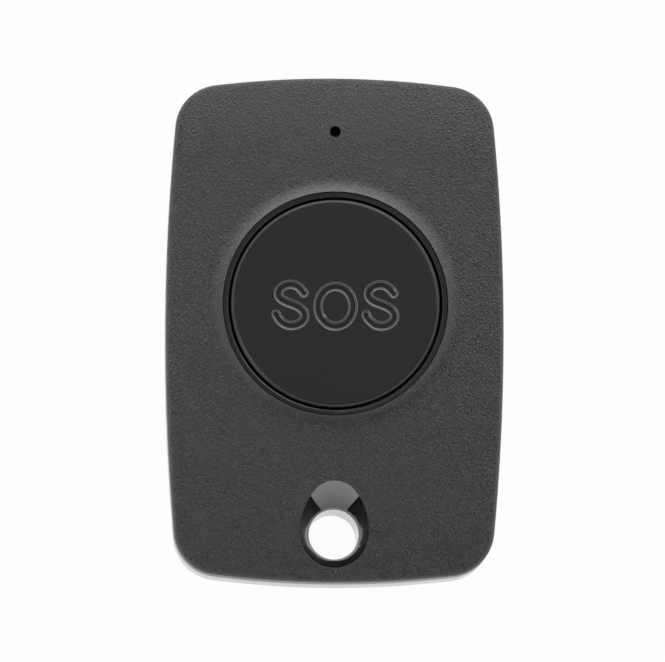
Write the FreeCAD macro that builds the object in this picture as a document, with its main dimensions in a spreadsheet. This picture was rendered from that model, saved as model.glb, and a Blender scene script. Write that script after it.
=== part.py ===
import FreeCAD, Part
import math
import os
import re

import Sketcher

# Wireless panic button, lying on its back: +Z points out of the button, +Y to the indicator end.
# The origin is on the rear face, below the middle of the housing. All lengths are millimetres.

V = FreeCAD.Vector
OUT = "parts"

doc = FreeCAD.newDocument("panic_button")
sheet = doc.addObject("Spreadsheet::Sheet", "sizes")

SIZES = [
    # Outline: four shallow arcs joined by corner arcs
    ("body_width", 40.5, "width of the housing at its middle"),
    ("body_length", 60.9, "length of the housing at its middle"),
    ("side_radius", 276.0, "radius of the long sides"),
    ("end_radius", 116.0, "radius of the two ends"),
    ("corner_radius", 5.5, "radius of the corners"),
    # Height and crown
    ("rear_depth", 6.5, "rear face to the joint between the covers"),
    ("boss_high", 0.7, "button boss from the membrane up to the cap"),
    ("crown_across", 240.0, "radius of the crown across the width"),
    ("crown_along", 300.0, "radius of the crown along the length"),
    ("roll_margin", 9.15, "length of the roll off at each end"),
    ("roll_radius", 45.0, "radius of the roll off"),
    ("wall", 1.3, "wall of both covers"),
    ("edge_round", 0.7, "round between crown and side wall"),
    ("rear_round", 1.8, "round between rear face and side wall"),
    ("joint_bevel", 0.15, "bevel of both covers along their joint"),
    # Button, its opening and the raised collar
    ("button_ahead", 2.78, "button axis ahead of the middle"),
    ("opening_radius", 12.8, "opening in the front cover"),
    ("button_gap", 0.3, "radial gap between button and opening"),
    ("button_proud", 0.43, "button face above the ledge"),
    ("button_round", 0.5, "round of the button edge"),
    ("button_wall", 1.4, "thickness of the button cap"),
    ("button_skirt", 1.1, "wall of the button skirt"),
    ("button_travel", 0.5, "travel of the button"),
    ("flange_width", 0.9, "reach of the button flange past its skirt"),
    ("flange_thick", 0.6, "thickness of the button flange"),
    ("hold_gap", 0.1, "gap above the flange, and below it at full travel"),
    ("flange_space", 0.5, "radial gap outside the flange"),
    ("boss_radius", 4.4, "button boss over the switch"),
    ("boss_rib", 0.8, "thickness of the ribs under the cap"),
    ("boss_rib_deep", 0.5, "depth of the ribs under the cap"),
    ("key_width", 1.2, "width of the keys that keep the button straight"),
    ("key_gap", 0.2, "gap round each key"),
    ("ledge_width", 0.7, "opening to the sharp edge of the collar"),
    ("collar_rise", 0.3, "sharp edge above the crown"),
    ("groove_width", 0.12, "width of the fine groove inside the sharp edge"),
    ("groove_deep", 0.15, "depth of that groove below the ledge"),
    ("ledge_drop", 0.13, "flat ledge below the sharp edge"),
    ("collar_foot", 2.1, "width of the collar down to its foot"),
    ("collar_fall", 1.36, "height of the collar down to its foot"),
    ("collar_base", 1.5, "round where the collar meets the crown"),
    ("lip_round", 0.15, "round at the lip of the opening"),
    # Membrane and its retainer
    ("retainer_deep", 1.0, "height of the retainer"),
    ("retainer_width", 2.3, "width of the retainer ring"),
    ("bead_shift", 0.3, "bead outside the inner edge of the retainer"),
    ("bead_thick", 0.8, "thickness of the membrane bead"),
    ("bead_width", 1.8, "width of the membrane bead"),
    ("web_thick", 0.4, "thickness of the membrane web"),
    ("crest_thick", 0.6, "thickness of the membrane over the switch"),
    ("crest_radius", 4.8, "radius of the raised middle of the membrane"),
    ("cone_width", 1.5, "width of the membrane cone"),
    ("cone_wall", 0.5, "wall of the membrane cone"),
    # Joint between the covers
    ("seal_width", 0.55, "width of the housing seal"),
    ("seal_deep", 0.85, "depth of the seal groove"),
    ("tongue_thick", 0.7, "thickness of the locating tongue"),
    ("tongue_deep", 1.1, "reach of the tongue into the rear cover"),
    ("tongue_root", 0.8, "height of the tongue's root in the front cover"),
    ("tongue_gap", 0.1, "gap outside the tongue"),
    # Indicator
    ("light_margin", 6.72, "indicator in from the front end of the housing"),
    ("light_hole_radius", 0.675, "radius of the indicator hole"),
    ("light_gap", 0.05, "radial gap round the light pipe"),
    ("light_sunk", 0.45, "light pipe below the crown"),
    ("light_foot_radius", 1.3, "radius of the light pipe flange"),
    ("light_flange_thick", 0.5, "thickness of the light pipe flange"),
    ("light_boss_radius", 1.9, "radius of the boss that holds the light pipe"),
    ("light_air", 0.3, "air between indicator and light pipe"),
    ("led_long", 1.6, "length of the indicator"),
    ("led_wide", 0.8, "width of the indicator"),
    ("led_lens", 1.1, "length of the indicator lens"),
    ("led_base_high", 0.3, "height of the indicator base"),
    ("led_high", 0.7, "height of the indicator"),
    # Lanyard hole and the egg-shaped scoop round it
    ("lanyard_margin", 5.9, "lanyard hole in from the rear end of the housing"),
    ("lanyard_bore_radius", 3.0, "radius of the bore through the rear cover"),
    ("lanyard_wall", 0.75, "wall of the tube on the rear cover"),
    ("lanyard_down", 3.09, "top of the tube below the crown"),
    ("lanyard_foot_radius", 4.3, "radius of the thicker foot of the tube"),
    ("scoop_hole_radius", 3.25, "radius of the hole at the foot of the scoop"),
    ("scoop_hole_deep", 0.7, "depth of the straight hole at the foot"),
    ("scoop_lift", 0.09, "rim plane above the crown over the big arc"),
    ("scoop_behind", 0.45, "big arc of the rim behind the lanyard hole"),
    ("scoop_big", 4.02, "radius of the big arc of the rim"),
    ("scoop_small", 3.0, "radius of the small arc of the rim"),
    ("scoop_side", 7.9, "radius of the side arcs of the rim"),
    ("scoop_reach", 3.94, "small arc ahead of the big arc"),
    ("scoop_wall", 0.75, "wall round the scoop"),
    ("scoop_back", 0.45, "solid round the scoop further in from the end of the housing"),
    ("scoop_round", 0.15, "round of the scoop rim"),
    # Board and its screws
    ("foam_thick", 0.45, "foam pad under the cell clip"),
    ("clip_thick", 0.25, "sheet of the cell clip"),
    ("cell_thick", 3.2, "coin cell thickness"),
    ("cell_radius", 10.0, "coin cell radius"),
    ("contact_space", 0.7, "space between cell and board"),
    ("board_thick", 1.0, "circuit board"),
    ("board_inset", 2.6, "board edge inside the housing outline"),
    ("board_margin", 10.9, "board short of the rear end of the housing"),
    ("board_notch_radius", 3.6, "radius of the board notches round the screw posts"),
    ("board_screw_side", 5.25, "board screws in from the sides of the housing"),
    ("board_screw_front", 12.1, "front board screws in from the front end"),
    ("board_screw_rear", 15.4, "rear board screws in from the rear end"),
    ("board_boss_radius", 2.2, "radius of the board bosses"),
    ("board_screw_radius", 0.8, "radius of the board screw shank"),
    ("board_screw_gap", 0.2, "radial gap round the shank in the board"),
    ("board_screw_grip", 2.2, "length of the board screw in its boss"),
    ("board_screw_head_radius", 1.7, "radius of the board screw head"),
    ("board_screw_head_deep", 1.1, "height of the board screw head"),
    # Housing screws
    ("screw_side", 6.25, "housing screws in from the sides"),
    ("screw_end", 6.6, "housing screws in from the ends"),
    ("screw_boss_radius", 2.6, "radius of the screw bosses"),
    ("screw_post_radius", 2.9, "radius of the screw posts"),
    ("screw_radius", 1.0, "radius of the housing screw shank"),
    ("screw_gap", 0.15, "radial gap round the shank in the post"),
    ("screw_grip", 2.2, "length of the housing screw in its boss"),
    ("screw_end_gap", 0.3, "air past the tip of every screw"),
    ("screw_head_radius", 1.9, "radius of the housing screw head"),
    ("screw_head_gap", 0.2, "radial gap round the screw head"),
    ("screw_head_deep", 1.4, "height of the housing screw head"),
    ("screw_sunk", 0.8, "screw head below the rear face"),
    ("cross_long", 2.0, "span of the cross recess in each screw"),
    ("cross_wide", 0.5, "width of the cross recess"),
    ("cross_deep", 0.7, "depth of the cross recess"),
    # Tact switch
    ("switch_width", 6.0, "side of the switch"),
    ("switch_base_high", 2.2, "height of the switch base"),
    ("switch_well", 0.8, "depth of the dome well"),
    ("switch_well_radius", 2.4, "radius of the dome well"),
    ("switch_plate", 0.25, "sheet of the switch cover"),
    ("switch_tab", 2.4, "width of the cover's side tabs"),
    ("switch_tab_deep", 1.2, "length of the cover's side tabs"),
    ("stem_radius", 1.7, "radius of the plunger stem"),
    ("stem_high", 0.65, "stem above the switch cover"),
    ("stem_gap", 0.1, "gap round the stem"),
    ("stem_foot_radius", 2.1, "radius of the plunger flange"),
    ("stem_flange_thick", 0.25, "thickness of the plunger flange"),
    ("stem_flange_gap", 0.1, "gap between plunger flange and switch cover"),
    ("dome_radius", 2.2, "radius of the switch dome"),
    ("dome_thick", 0.08, "sheet of the switch dome"),
    ("lead_width", 0.7, "width of a switch lead"),
    ("lead_thick", 0.15, "sheet of a switch lead"),
    ("lead_spread", 2.25, "leads each side of the switch middle"),
    ("lead_reach", 1.4, "reach of a lead past the base"),
    ("lead_drop", 0.6, "distance from the base to the bend of a lead"),
    ("lead_high", 0.9, "height at which a lead leaves the base"),
    # Cell clip, contact, foam pad and the rib round the cell
    ("clip_width", 6.0, "width of the cell clip"),
    ("clip_gap", 0.5, "clip leg outside the cell"),
    ("clip_foot", 2.4, "length of a clip foot"),
    ("clip_bend", 0.3, "inner radius of the clip's bends"),
    ("cell_lid", 8.8, "radius of the cell's smaller face"),
    ("cell_step", 0.4, "height of the step round the smaller face"),
    ("contact_width", 3.0, "width of the cell contact"),
    ("contact_thick", 0.2, "sheet of the cell contact"),
    ("contact_foot", 3.0, "length of the contact foot"),
    ("contact_slope", 3.5, "length of the contact slope"),
    ("contact_tip", 2.0, "length of the contact tip"),
    ("foam_long", 16.0, "length of the foam pad"),
    ("foam_wide", 12.0, "width of the foam pad"),
    ("rib_gap", 0.3, "rib outside the cell clip"),
    ("rib_thick", 0.8, "thickness of the cell rib"),
    ("rib_high", 1.8, "height of the cell rib"),
    # Parts on the board
    ("chip_side", 5.0, "side of the radio chip"),
    ("chip_high", 0.85, "height of the radio chip"),
    ("chip_margin", 4.9, "middle of the radio chip and crystal in from the retainer"),
    ("chip_behind", 4.0, "radio chip behind the button axis"),
    ("crystal_long", 3.2, "length of the crystal"),
    ("crystal_wide", 2.5, "width of the crystal"),
    ("crystal_base", 0.3, "height of the crystal base"),
    ("crystal_high", 0.7, "height of the crystal"),
    ("crystal_rim", 0.15, "base of the crystal past its lid"),
    ("crystal_ahead", 2.1, "crystal ahead of the button axis"),
    ("antenna_long", 5.2, "length of the chip antenna"),
    ("antenna_wide", 2.0, "width of the chip antenna"),
    ("antenna_high", 1.0, "height of the chip antenna"),
    ("antenna_gap", 0.4, "antenna left of the light pipe boss"),
    ("antenna_margin", 4.95, "antenna in from the front end of the housing"),
    ("small_long", 1.6, "length of a capacitor or resistor"),
    ("small_wide", 0.8, "width of a capacitor or resistor"),
    ("small_pitch_long", 2.2, "spacing of capacitors and resistors end to end"),
    ("small_pitch_wide", 1.7, "spacing of capacitors and resistors side by side"),
    ("capacitor_high", 0.7, "height of a capacitor"),
    ("capacitor_margin", 5.3, "first capacitors in from the retainer"),
    ("capacitor_behind", 1.7, "first capacitors behind the button axis"),
    ("resistor_high", 0.45, "height of a resistor"),
    ("resistor_margin", 5.2, "first resistors in from the retainer"),
]

NAMES = {alias for alias, size, meaning in SIZES}

for row, (alias, size, meaning) in enumerate(SIZES, start=1):
    sheet.set(f"A{row}", meaning)
    sheet.set(f"B{row}", str(size))
    sheet.setAlias(f"B{row}", alias)
doc.recompute()

# Levels above the rear face, from the rear cover's floor up to the button's face
HEAD_SEAT = "(screw_sunk + screw_head_deep)"
CELL_UNDER = "(wall + foam_thick + clip_thick)"
BOARD_UNDER = f"({CELL_UNDER} + cell_thick + contact_space)"
BOARD_TOP = f"({BOARD_UNDER} + board_thick)"
WEB_UNDER = f"({BOARD_TOP} + retainer_deep)"
WEB_TOP = f"({WEB_UNDER} + web_thick)"
CLAMP_UNDER = f"({WEB_UNDER} + bead_thick)"
FLANGE_UNDER = f"({WEB_TOP} + button_travel + hold_gap)"
FLANGE_TOP = f"({FLANGE_UNDER} + flange_thick)"
GUIDE_UNDER = f"({FLANGE_TOP} + hold_gap)"
PIPE_FOOT = f"({BOARD_TOP} + led_high + light_air)"
PIPE_FLANGE_TOP = f"({PIPE_FOOT} + light_flange_thick)"
SWITCH_TOP = f"({BOARD_TOP} + switch_base_high)"
WELL_FLOOR = f"({SWITCH_TOP} - switch_well)"
DOME_TOP = f"({SWITCH_TOP} - stem_flange_gap - stem_flange_thick)"
PLATE_TOP = f"({SWITCH_TOP} + switch_plate)"
STEM_TOP = f"({PLATE_TOP} + stem_high)"
CREST_TOP = f"({STEM_TOP} + crest_thick)"
CAP_UNDER = f"({CREST_TOP} + boss_high)"
BUTTON_FACE = f"({CAP_UNDER} + button_wall)"
LEDGE = f"({BUTTON_FACE} - button_proud)"
EDGE_TOP = f"({LEDGE} + ledge_drop)"
CROWN_TOP = f"({EDGE_TOP} - collar_rise)"

# Distance from the middle at which the crown starts to roll off
ROLL_FROM = "(body_length / 2 - roll_margin)"

# Radii about the button axis
BUTTON_RADIUS = "(opening_radius - button_gap)"
FLANGE_RADIUS = f"({BUTTON_RADIUS} + flange_width)"
POCKET_RADIUS = f"({FLANGE_RADIUS} + flange_space)"
CLAMP_RADIUS = f"({POCKET_RADIUS} + retainer_width)"
COLLAR_RADIUS = "(opening_radius + ledge_width)"

# Places along and across the housing
LIGHT_Y = "(body_length / 2 - light_margin)"
LANYARD_Y = "(lanyard_margin - body_length / 2)"
SCOOP_Y = f"({LANYARD_Y} - scoop_behind)"
SCOOP_MIDDLE = f"({SCOOP_Y} + (scoop_reach + scoop_small - scoop_big) / 2)"
CHIP_X = f"(chip_margin - {POCKET_RADIUS})"

# Places of the screws, as pairs of formulas
CORNERS = [(1, 1), (-1, 1), (-1, -1), (1, -1)]
HOUSING_SCREWS = [(f"{i} * (body_width / 2 - screw_side)", f"{j} * (body_length / 2 - screw_end)")
                  for i, j in CORNERS]
BOARD_SCREW_X = "(body_width / 2 - board_screw_side)"
FRONT_BOARD_SCREWS = [(f"{i} * {BOARD_SCREW_X}", "(body_length / 2 - board_screw_front)") for i in (1, -1)]
REAR_BOARD_SCREWS = [(f"{i} * {BOARD_SCREW_X}", "(board_screw_rear - body_length / 2)") for i in (1, -1)]

# Tolerance for finding edges by where they lie
NEAR = 1e-3


def formula(text):
    """The text with each named size written as a reference to its cell."""
    return re.sub(r"[a-z_]+", lambda word: "sizes." + word[0] if word[0] in NAMES else word[0], text)


def value(text):
    """The number that a formula of named sizes gives."""
    return float(sheet.evalExpression(formula(text)))


def bind(thing, path, text):
    """Ties one property of an object to a formula of named sizes."""
    thing.setExpression(path, formula(text))


def roll_reach(y):
    """Formula for how far a point on the roll off lies ahead of that arc's centre."""
    return f"(roll_radius * {ROLL_FROM} / crown_along + abs({y}) - {ROLL_FROM})"


def crown(x, y):
    """Formula for the height of the crown over a point."""
    near = f"(crown_along - sqrt(crown_along ^ 2 - ({y}) ^ 2))"
    start = f"sqrt(crown_along ^ 2 - {ROLL_FROM} ^ 2)"
    roll = f"(roll_radius * {start} / crown_along - sqrt(roll_radius ^ 2 - {roll_reach(y)} ^ 2))"
    far = f"(crown_along - {start} + {roll})"
    fall = f"(abs({y}) > {ROLL_FROM} ? {far} : {near})"
    return f"({CROWN_TOP} - crown_across + sqrt((crown_across - {fall}) ^ 2 - ({x}) ^ 2))"


def under_crown(x, y):
    """Formula for the level over a point where a boss ends, two fifths of the wall inside the crown."""
    return f"({crown(x, y)} - 0.4 * wall)"


# Top of the lanyard tube, and the foot of the scoop above it
TUBE_TOP = f"({crown('0', LANYARD_Y)} - lanyard_down)"
SCOOP_FOOT = f"({TUBE_TOP} + scoop_hole_deep)"


# Sketch helpers


def new_body(name):
    body = doc.addObject("PartDesign::Body", name)
    body.Label = name
    return body


def new_sketch(body, role, x="0", y="0", z="0"):
    """An empty sketch on one of the body's own planes, moved by x, y, z in that plane's axes."""
    sketch = body.newObject("Sketcher::SketchObject", f"{body.Name}_sketch")
    plane = next(feature for feature in body.Origin.OriginFeatures if feature.Role == role)
    sketch.AttachmentSupport = [(plane, "")]
    sketch.MapMode = "FlatFace"
    for axis, text in (("x", x), ("y", y), ("z", z)):
        bind(sketch, f"AttachmentOffset.Base.{axis}", text)
    return sketch


def flat_sketch(body, level):
    """An empty sketch parallel to the rear face, at a level above it."""
    return new_sketch(body, "XY_Plane", z=level)


def set_radius(sketch, curve, radius):
    place = sketch.addConstraint(Sketcher.Constraint("Radius", curve, value(radius)))
    bind(sketch, f"Constraints[{place}]", radius)


def set_point(sketch, curve, end, x, y):
    """Holds one point of a curve at x, y from the sketch's origin."""
    for kind, text in (("DistanceX", x), ("DistanceY", y)):
        place = sketch.addConstraint(Sketcher.Constraint(kind, -1, 1, curve, end, value(text)))
        bind(sketch, f"Constraints[{place}]", text)


def draw_circle(sketch, x, y, radius):
    circle = Part.Circle(V(value(x), value(y), 0), V(0, 0, 1), value(radius))
    curve = sketch.addGeometry(circle, False)
    set_point(sketch, curve, 3, x, y)
    set_radius(sketch, curve, radius)


def draw_polygon(sketch, corners):
    """A closed outline with straight sides through corners given as pairs of formulas."""
    points = [V(value(x), value(y), 0) for x, y in corners]
    ends = points[1:] + points[:1]
    lines = [sketch.addGeometry(Part.LineSegment(a, b), False) for a, b in zip(points, ends)]
    for line, following in zip(lines, lines[1:] + lines[:1]):
        sketch.addConstraint(Sketcher.Constraint("Coincident", line, 2, following, 1))
    for line, (x, y) in zip(lines, corners):
        set_point(sketch, line, 1, x, y)


def draw_box(sketch, x, y, long, wide):
    """A rectangle about x, y."""
    corners = [(f"({x}) + {i} * ({long}) / 2", f"({y}) + {j} * ({wide}) / 2") for i, j in CORNERS]
    draw_polygon(sketch, corners)


def draw_arcs(sketch, arcs):
    """A closed chain of arcs, each tangent to the next: (x, y, radius, start, end, centre is held)."""
    curves = []
    for x, y, radius, start, end, held in arcs:
        circle = Part.Circle(V(value(x), value(y), 0), V(0, 0, 1), value(radius))
        curve = sketch.addGeometry(Part.ArcOfCircle(circle, start, end), False)
        curves.append(curve)
    for curve, following in zip(curves, curves[1:] + curves[:1]):
        sketch.addConstraint(Sketcher.Constraint("Tangent", curve, 2, following, 1))
    for curve, (x, y, radius, start, end, held) in zip(curves, arcs):
        set_radius(sketch, curve, radius)
        if held:
            set_point(sketch, curve, 3, x, y)


def corner_middle():
    """Centre of a corner arc: where the side and end arcs, moved in by its radius, meet."""
    side, end = value("side_radius - corner_radius"), value("end_radius - corner_radius")
    side_back, end_back = value("side_radius - body_width / 2"), value("end_radius - body_length / 2")
    apart = math.hypot(side_back, end_back)
    along = (side ** 2 - end ** 2 + apart ** 2) / (2 * apart)
    off = math.sqrt(side ** 2 - along ** 2)
    x = (along * side_back + off * end_back) / apart - side_back
    y = (off * side_back - along * end_back) / apart
    return x, y


def draw_outline(sketch, inset="0"):
    """Outline of the housing moved in by an inset: four shallow arcs joined by corner arcs."""
    x, y = corner_middle()
    a = math.atan2(y, x + value("side_radius - body_width / 2"))
    b = math.atan2(y + value("end_radius - body_length / 2"), x)
    half, whole = math.pi, 2 * math.pi
    long_side = f"side_radius - ({inset})"
    short_end = f"end_radius - ({inset})"
    corner = f"corner_radius - ({inset})"
    draw_arcs(sketch, [
        ("body_width / 2 - side_radius", "0", long_side, -a, a, True),
        (str(x), str(y), corner, a, b, False),
        ("0", "body_length / 2 - end_radius", short_end, b, half - b, True),
        (str(-x), str(y), corner, half - b, half - a, False),
        ("side_radius - body_width / 2", "0", long_side, half - a, half + a, True),
        (str(-x), str(-y), corner, half + a, half + b, False),
        ("0", "end_radius - body_length / 2", short_end, half + b, whole - b, True),
        (str(x), str(-y), corner, whole - b, whole - a, False),
    ])


def draw_egg(sketch, big, small, side):
    """Egg of four arcs with the centre of its big arc at the sketch's origin, its point towards +Y."""
    reach = value("scoop_reach")
    to_big = value(f"{side} - ({big})")
    to_small = value(f"{side} - ({small})")
    y = (to_big ** 2 - to_small ** 2 + reach ** 2) / (2 * reach)
    x = math.sqrt(to_big ** 2 - y ** 2)
    low = math.atan2(-y, x)
    high = math.atan2(reach - y, x)
    half = math.pi
    draw_arcs(sketch, [
        (str(-x), str(y), side, low, high, False),
        ("0", "scoop_reach", small, high, half - high, True),
        (str(x), str(y), side, half - high, half - low, False),
        ("0", "0", big, half - low, 2 * half + low, True),
    ])


# Feature helpers


def pad(body, sketch, length, down=False, both=False):
    feature = body.newObject("PartDesign::Pad", f"{body.Name}_pad")
    feature.Profile = sketch
    feature.Reversed = down
    feature.Midplane = both
    bind(feature, "Length", length)
    return feature


def pocket(body, sketch, length, up=False):
    """Cuts from the sketch down, or up from it, by a length."""
    feature = body.newObject("PartDesign::Pocket", f"{body.Name}_pocket")
    feature.Profile = sketch
    feature.Reversed = up
    bind(feature, "Length", length)
    return feature


def pad_to(body, draw, low, high):
    """A pad of what draw puts in the sketch, from one level up to another."""
    sketch = flat_sketch(body, low)
    draw(sketch)
    return pad(body, sketch, f"{high} - {low}")


def cut_to(body, draw, low, high):
    """A pocket of what draw puts in the sketch, from one level up to another."""
    sketch = flat_sketch(body, low)
    draw(sketch)
    return pocket(body, sketch, f"{high} - {low}", up=True)


def revolve(body, corners, ahead="0"):
    """A full turn of a polygon of radius and level about an upright axis ahead of the middle."""
    sketch = new_sketch(body, "XZ_Plane", z=f"-({ahead})")
    draw_polygon(sketch, corners)
    feature = body.newObject("PartDesign::Revolution", f"{body.Name}_revolution")
    feature.Profile = sketch
    feature.ReferenceAxis = (sketch, ["V_Axis"])
    feature.Angle = 360
    return feature


def loft(body, kind, first, second):
    feature = body.newObject(kind, f"{body.Name}_loft")
    feature.Profile = first
    feature.Sections = [second]
    feature.Ruled = True
    return feature


def edges_where(feature, test):
    """Names of the edges of a feature that pass a test."""
    doc.recompute()
    return [f"Edge{place}" for place, edge in enumerate(feature.Shape.Edges, start=1) if test(edge)]


def round_edges(body, base, test, radius):
    names = edges_where(base, test)
    feature = body.newObject("PartDesign::Fillet", f"{body.Name}_round")
    feature.Base = (base, names)
    bind(feature, "Radius", radius)
    return feature


def bevel_edges(body, base, test, size):
    names = edges_where(base, test)
    feature = body.newObject("PartDesign::Chamfer", f"{body.Name}_bevel")
    feature.Base = (base, names)
    bind(feature, "Size", size)
    return feature


def is_ring(edge, radius, level):
    """True for a circular edge of a radius that lies at a level."""
    if not isinstance(edge.Curve, Part.Circle):
        return False
    near_radius = abs(edge.Curve.Radius - value(radius)) < NEAR
    return near_radius and abs(edge.Curve.Center.z - value(level)) < NEAR


def is_at(edge, level):
    """True for an edge that lies flat at a level."""
    box = edge.BoundBox
    return abs(box.ZMin - value(level)) < NEAR and abs(box.ZMax - value(level)) < NEAR


def is_outer(edge):
    """True for an edge whose middle lies on the housing's outline."""
    mark = edge.valueAt((edge.FirstParameter + edge.LastParameter) / 2)
    x, y = abs(mark.x), abs(mark.y)
    corner_x, corner_y = corner_middle()
    off_side = value("side_radius") - math.hypot(x + value("side_radius - body_width / 2"), y)
    off_end = value("end_radius") - math.hypot(x, y + value("end_radius - body_length / 2"))
    off_corner = value("corner_radius") - math.hypot(x - corner_x, y - corner_y)
    if x > corner_x and y > corner_y:
        return off_corner < value("wall / 3")
    return min(off_side, off_end) < value("wall / 3")


# Covers


def draw_crown(sketch, depth):
    """Section along the housing of all that lies above the crown, or above a depth under it."""
    across, lean = value("crown_across"), math.asin(value(f"{ROLL_FROM} / crown_along"))
    along, roll = value(f"crown_along - {depth}"), value(f"roll_radius - {depth}")
    middle = V(value(f"(crown_along - roll_radius) * {ROLL_FROM} / crown_along"), 0, 0)
    middle.y = across - value("crown_along") + value("crown_along - roll_radius") * math.cos(lean)
    reach = value("body_length / 2 + wall")
    end_lean = math.asin((reach - middle.x) / roll)
    up = math.pi / 2
    above = across + value("wall * 3")

    def arc(x, y, radius, start, end):
        circle = Part.Circle(V(x, y, 0), V(0, 0, 1), radius)
        return sketch.addGeometry(Part.ArcOfCircle(circle, start, end), False)

    right = arc(middle.x, middle.y, roll, up - end_lean, up - lean)
    top = arc(0, across - value("crown_along"), along, up - lean, up + lean)
    left = arc(-middle.x, middle.y, roll, up + lean, up + end_lean)
    low = middle.y + roll * math.cos(end_lean)
    points = [V(-reach, low, 0), V(-reach, above, 0), V(reach, above, 0), V(reach, low, 0)]
    lines = [sketch.addGeometry(Part.LineSegment(a, b), False) for a, b in zip(points, points[1:])]

    add = sketch.addConstraint
    add(Sketcher.Constraint("Tangent", right, 2, top, 1))
    add(Sketcher.Constraint("Tangent", top, 2, left, 1))
    add(Sketcher.Constraint("Coincident", left, 2, lines[0], 1))
    add(Sketcher.Constraint("Coincident", lines[0], 2, lines[1], 1))
    add(Sketcher.Constraint("Coincident", lines[1], 2, lines[2], 1))
    add(Sketcher.Constraint("Coincident", lines[2], 2, right, 1))
    set_radius(sketch, top, f"crown_along - {depth}")
    set_radius(sketch, right, f"roll_radius - {depth}")
    set_radius(sketch, left, f"roll_radius - {depth}")
    set_point(sketch, top, 3, "0", "crown_across - crown_along")
    for curve, side in ((top, 1), (left, -1)):
        start = f"{side} * {ROLL_FROM} * (crown_along - {depth}) / crown_along"
        place = add(Sketcher.Constraint("DistanceX", -1, 1, curve, 1, value(start)))
        bind(sketch, f"Constraints[{place}]", start)
    set_point(sketch, lines[1], 1, "-(body_length / 2 + wall)", "crown_across + wall * 3")
    set_point(sketch, lines[1], 2, "body_length / 2 + wall", "crown_across + wall * 3")
    add(Sketcher.Constraint("Vertical", lines[0]))
    add(Sketcher.Constraint("Vertical", lines[2]))


def crowned_block(name, inset, low, depth):
    """The housing's outline moved in by an inset, from a level up to the crown or a depth under it."""
    body = new_body(name)
    pad_to(body, lambda sketch: draw_outline(sketch, inset), low, f"({CROWN_TOP} + wall)")
    sketch = new_sketch(body, "YZ_Plane", y=f"{CROWN_TOP} - crown_across")
    draw_crown(sketch, depth)
    groove = body.newObject("PartDesign::Groove", f"{name}_crown")
    groove.Profile = sketch
    groove.ReferenceAxis = (sketch, ["H_Axis"])
    groove.Midplane = True
    bind(groove, "Angle", "2 * asin((body_width / 2 + 2 * wall) / crown_across)")
    return body


def between_outlines(outer, inner):
    """Draws the ring between the housing outline moved in by two insets."""
    def draw(sketch):
        draw_outline(sketch, outer)
        draw_outline(sketch, inner)
    return draw


def circle_at(x, y, radius):
    return lambda sketch: draw_circle(sketch, x, y, radius)


def circles_at(places, radius):
    def draw(sketch):
        for x, y in places:
            draw_circle(sketch, x, y, radius)
    return draw


def rim_sketch(body, shift, level, big, small, side):
    """The egg of the scoop's rim, on a plane with the slope of the roll off under the rim's middle."""
    sketch = new_sketch(body, "XY_Plane")
    slope = f"asin({roll_reach(SCOOP_MIDDLE)} / roll_radius)"
    sketch.AttachmentOffset = FreeCAD.Placement(V(0, 0, 0), FreeCAD.Rotation(V(1, 0, 0), value(slope)))
    bind(sketch, "AttachmentOffset.Base.y", shift)
    bind(sketch, "AttachmentOffset.Base.z", level)
    bind(sketch, "AttachmentOffset.Rotation.Angle", slope)
    draw_egg(sketch, big, small, side)
    return sketch


def crown_edge(edge):
    """True for an edge where the crown meets the outside of the side wall."""
    return edge.BoundBox.ZMin > value("rear_depth + wall") and is_outer(edge)


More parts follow.
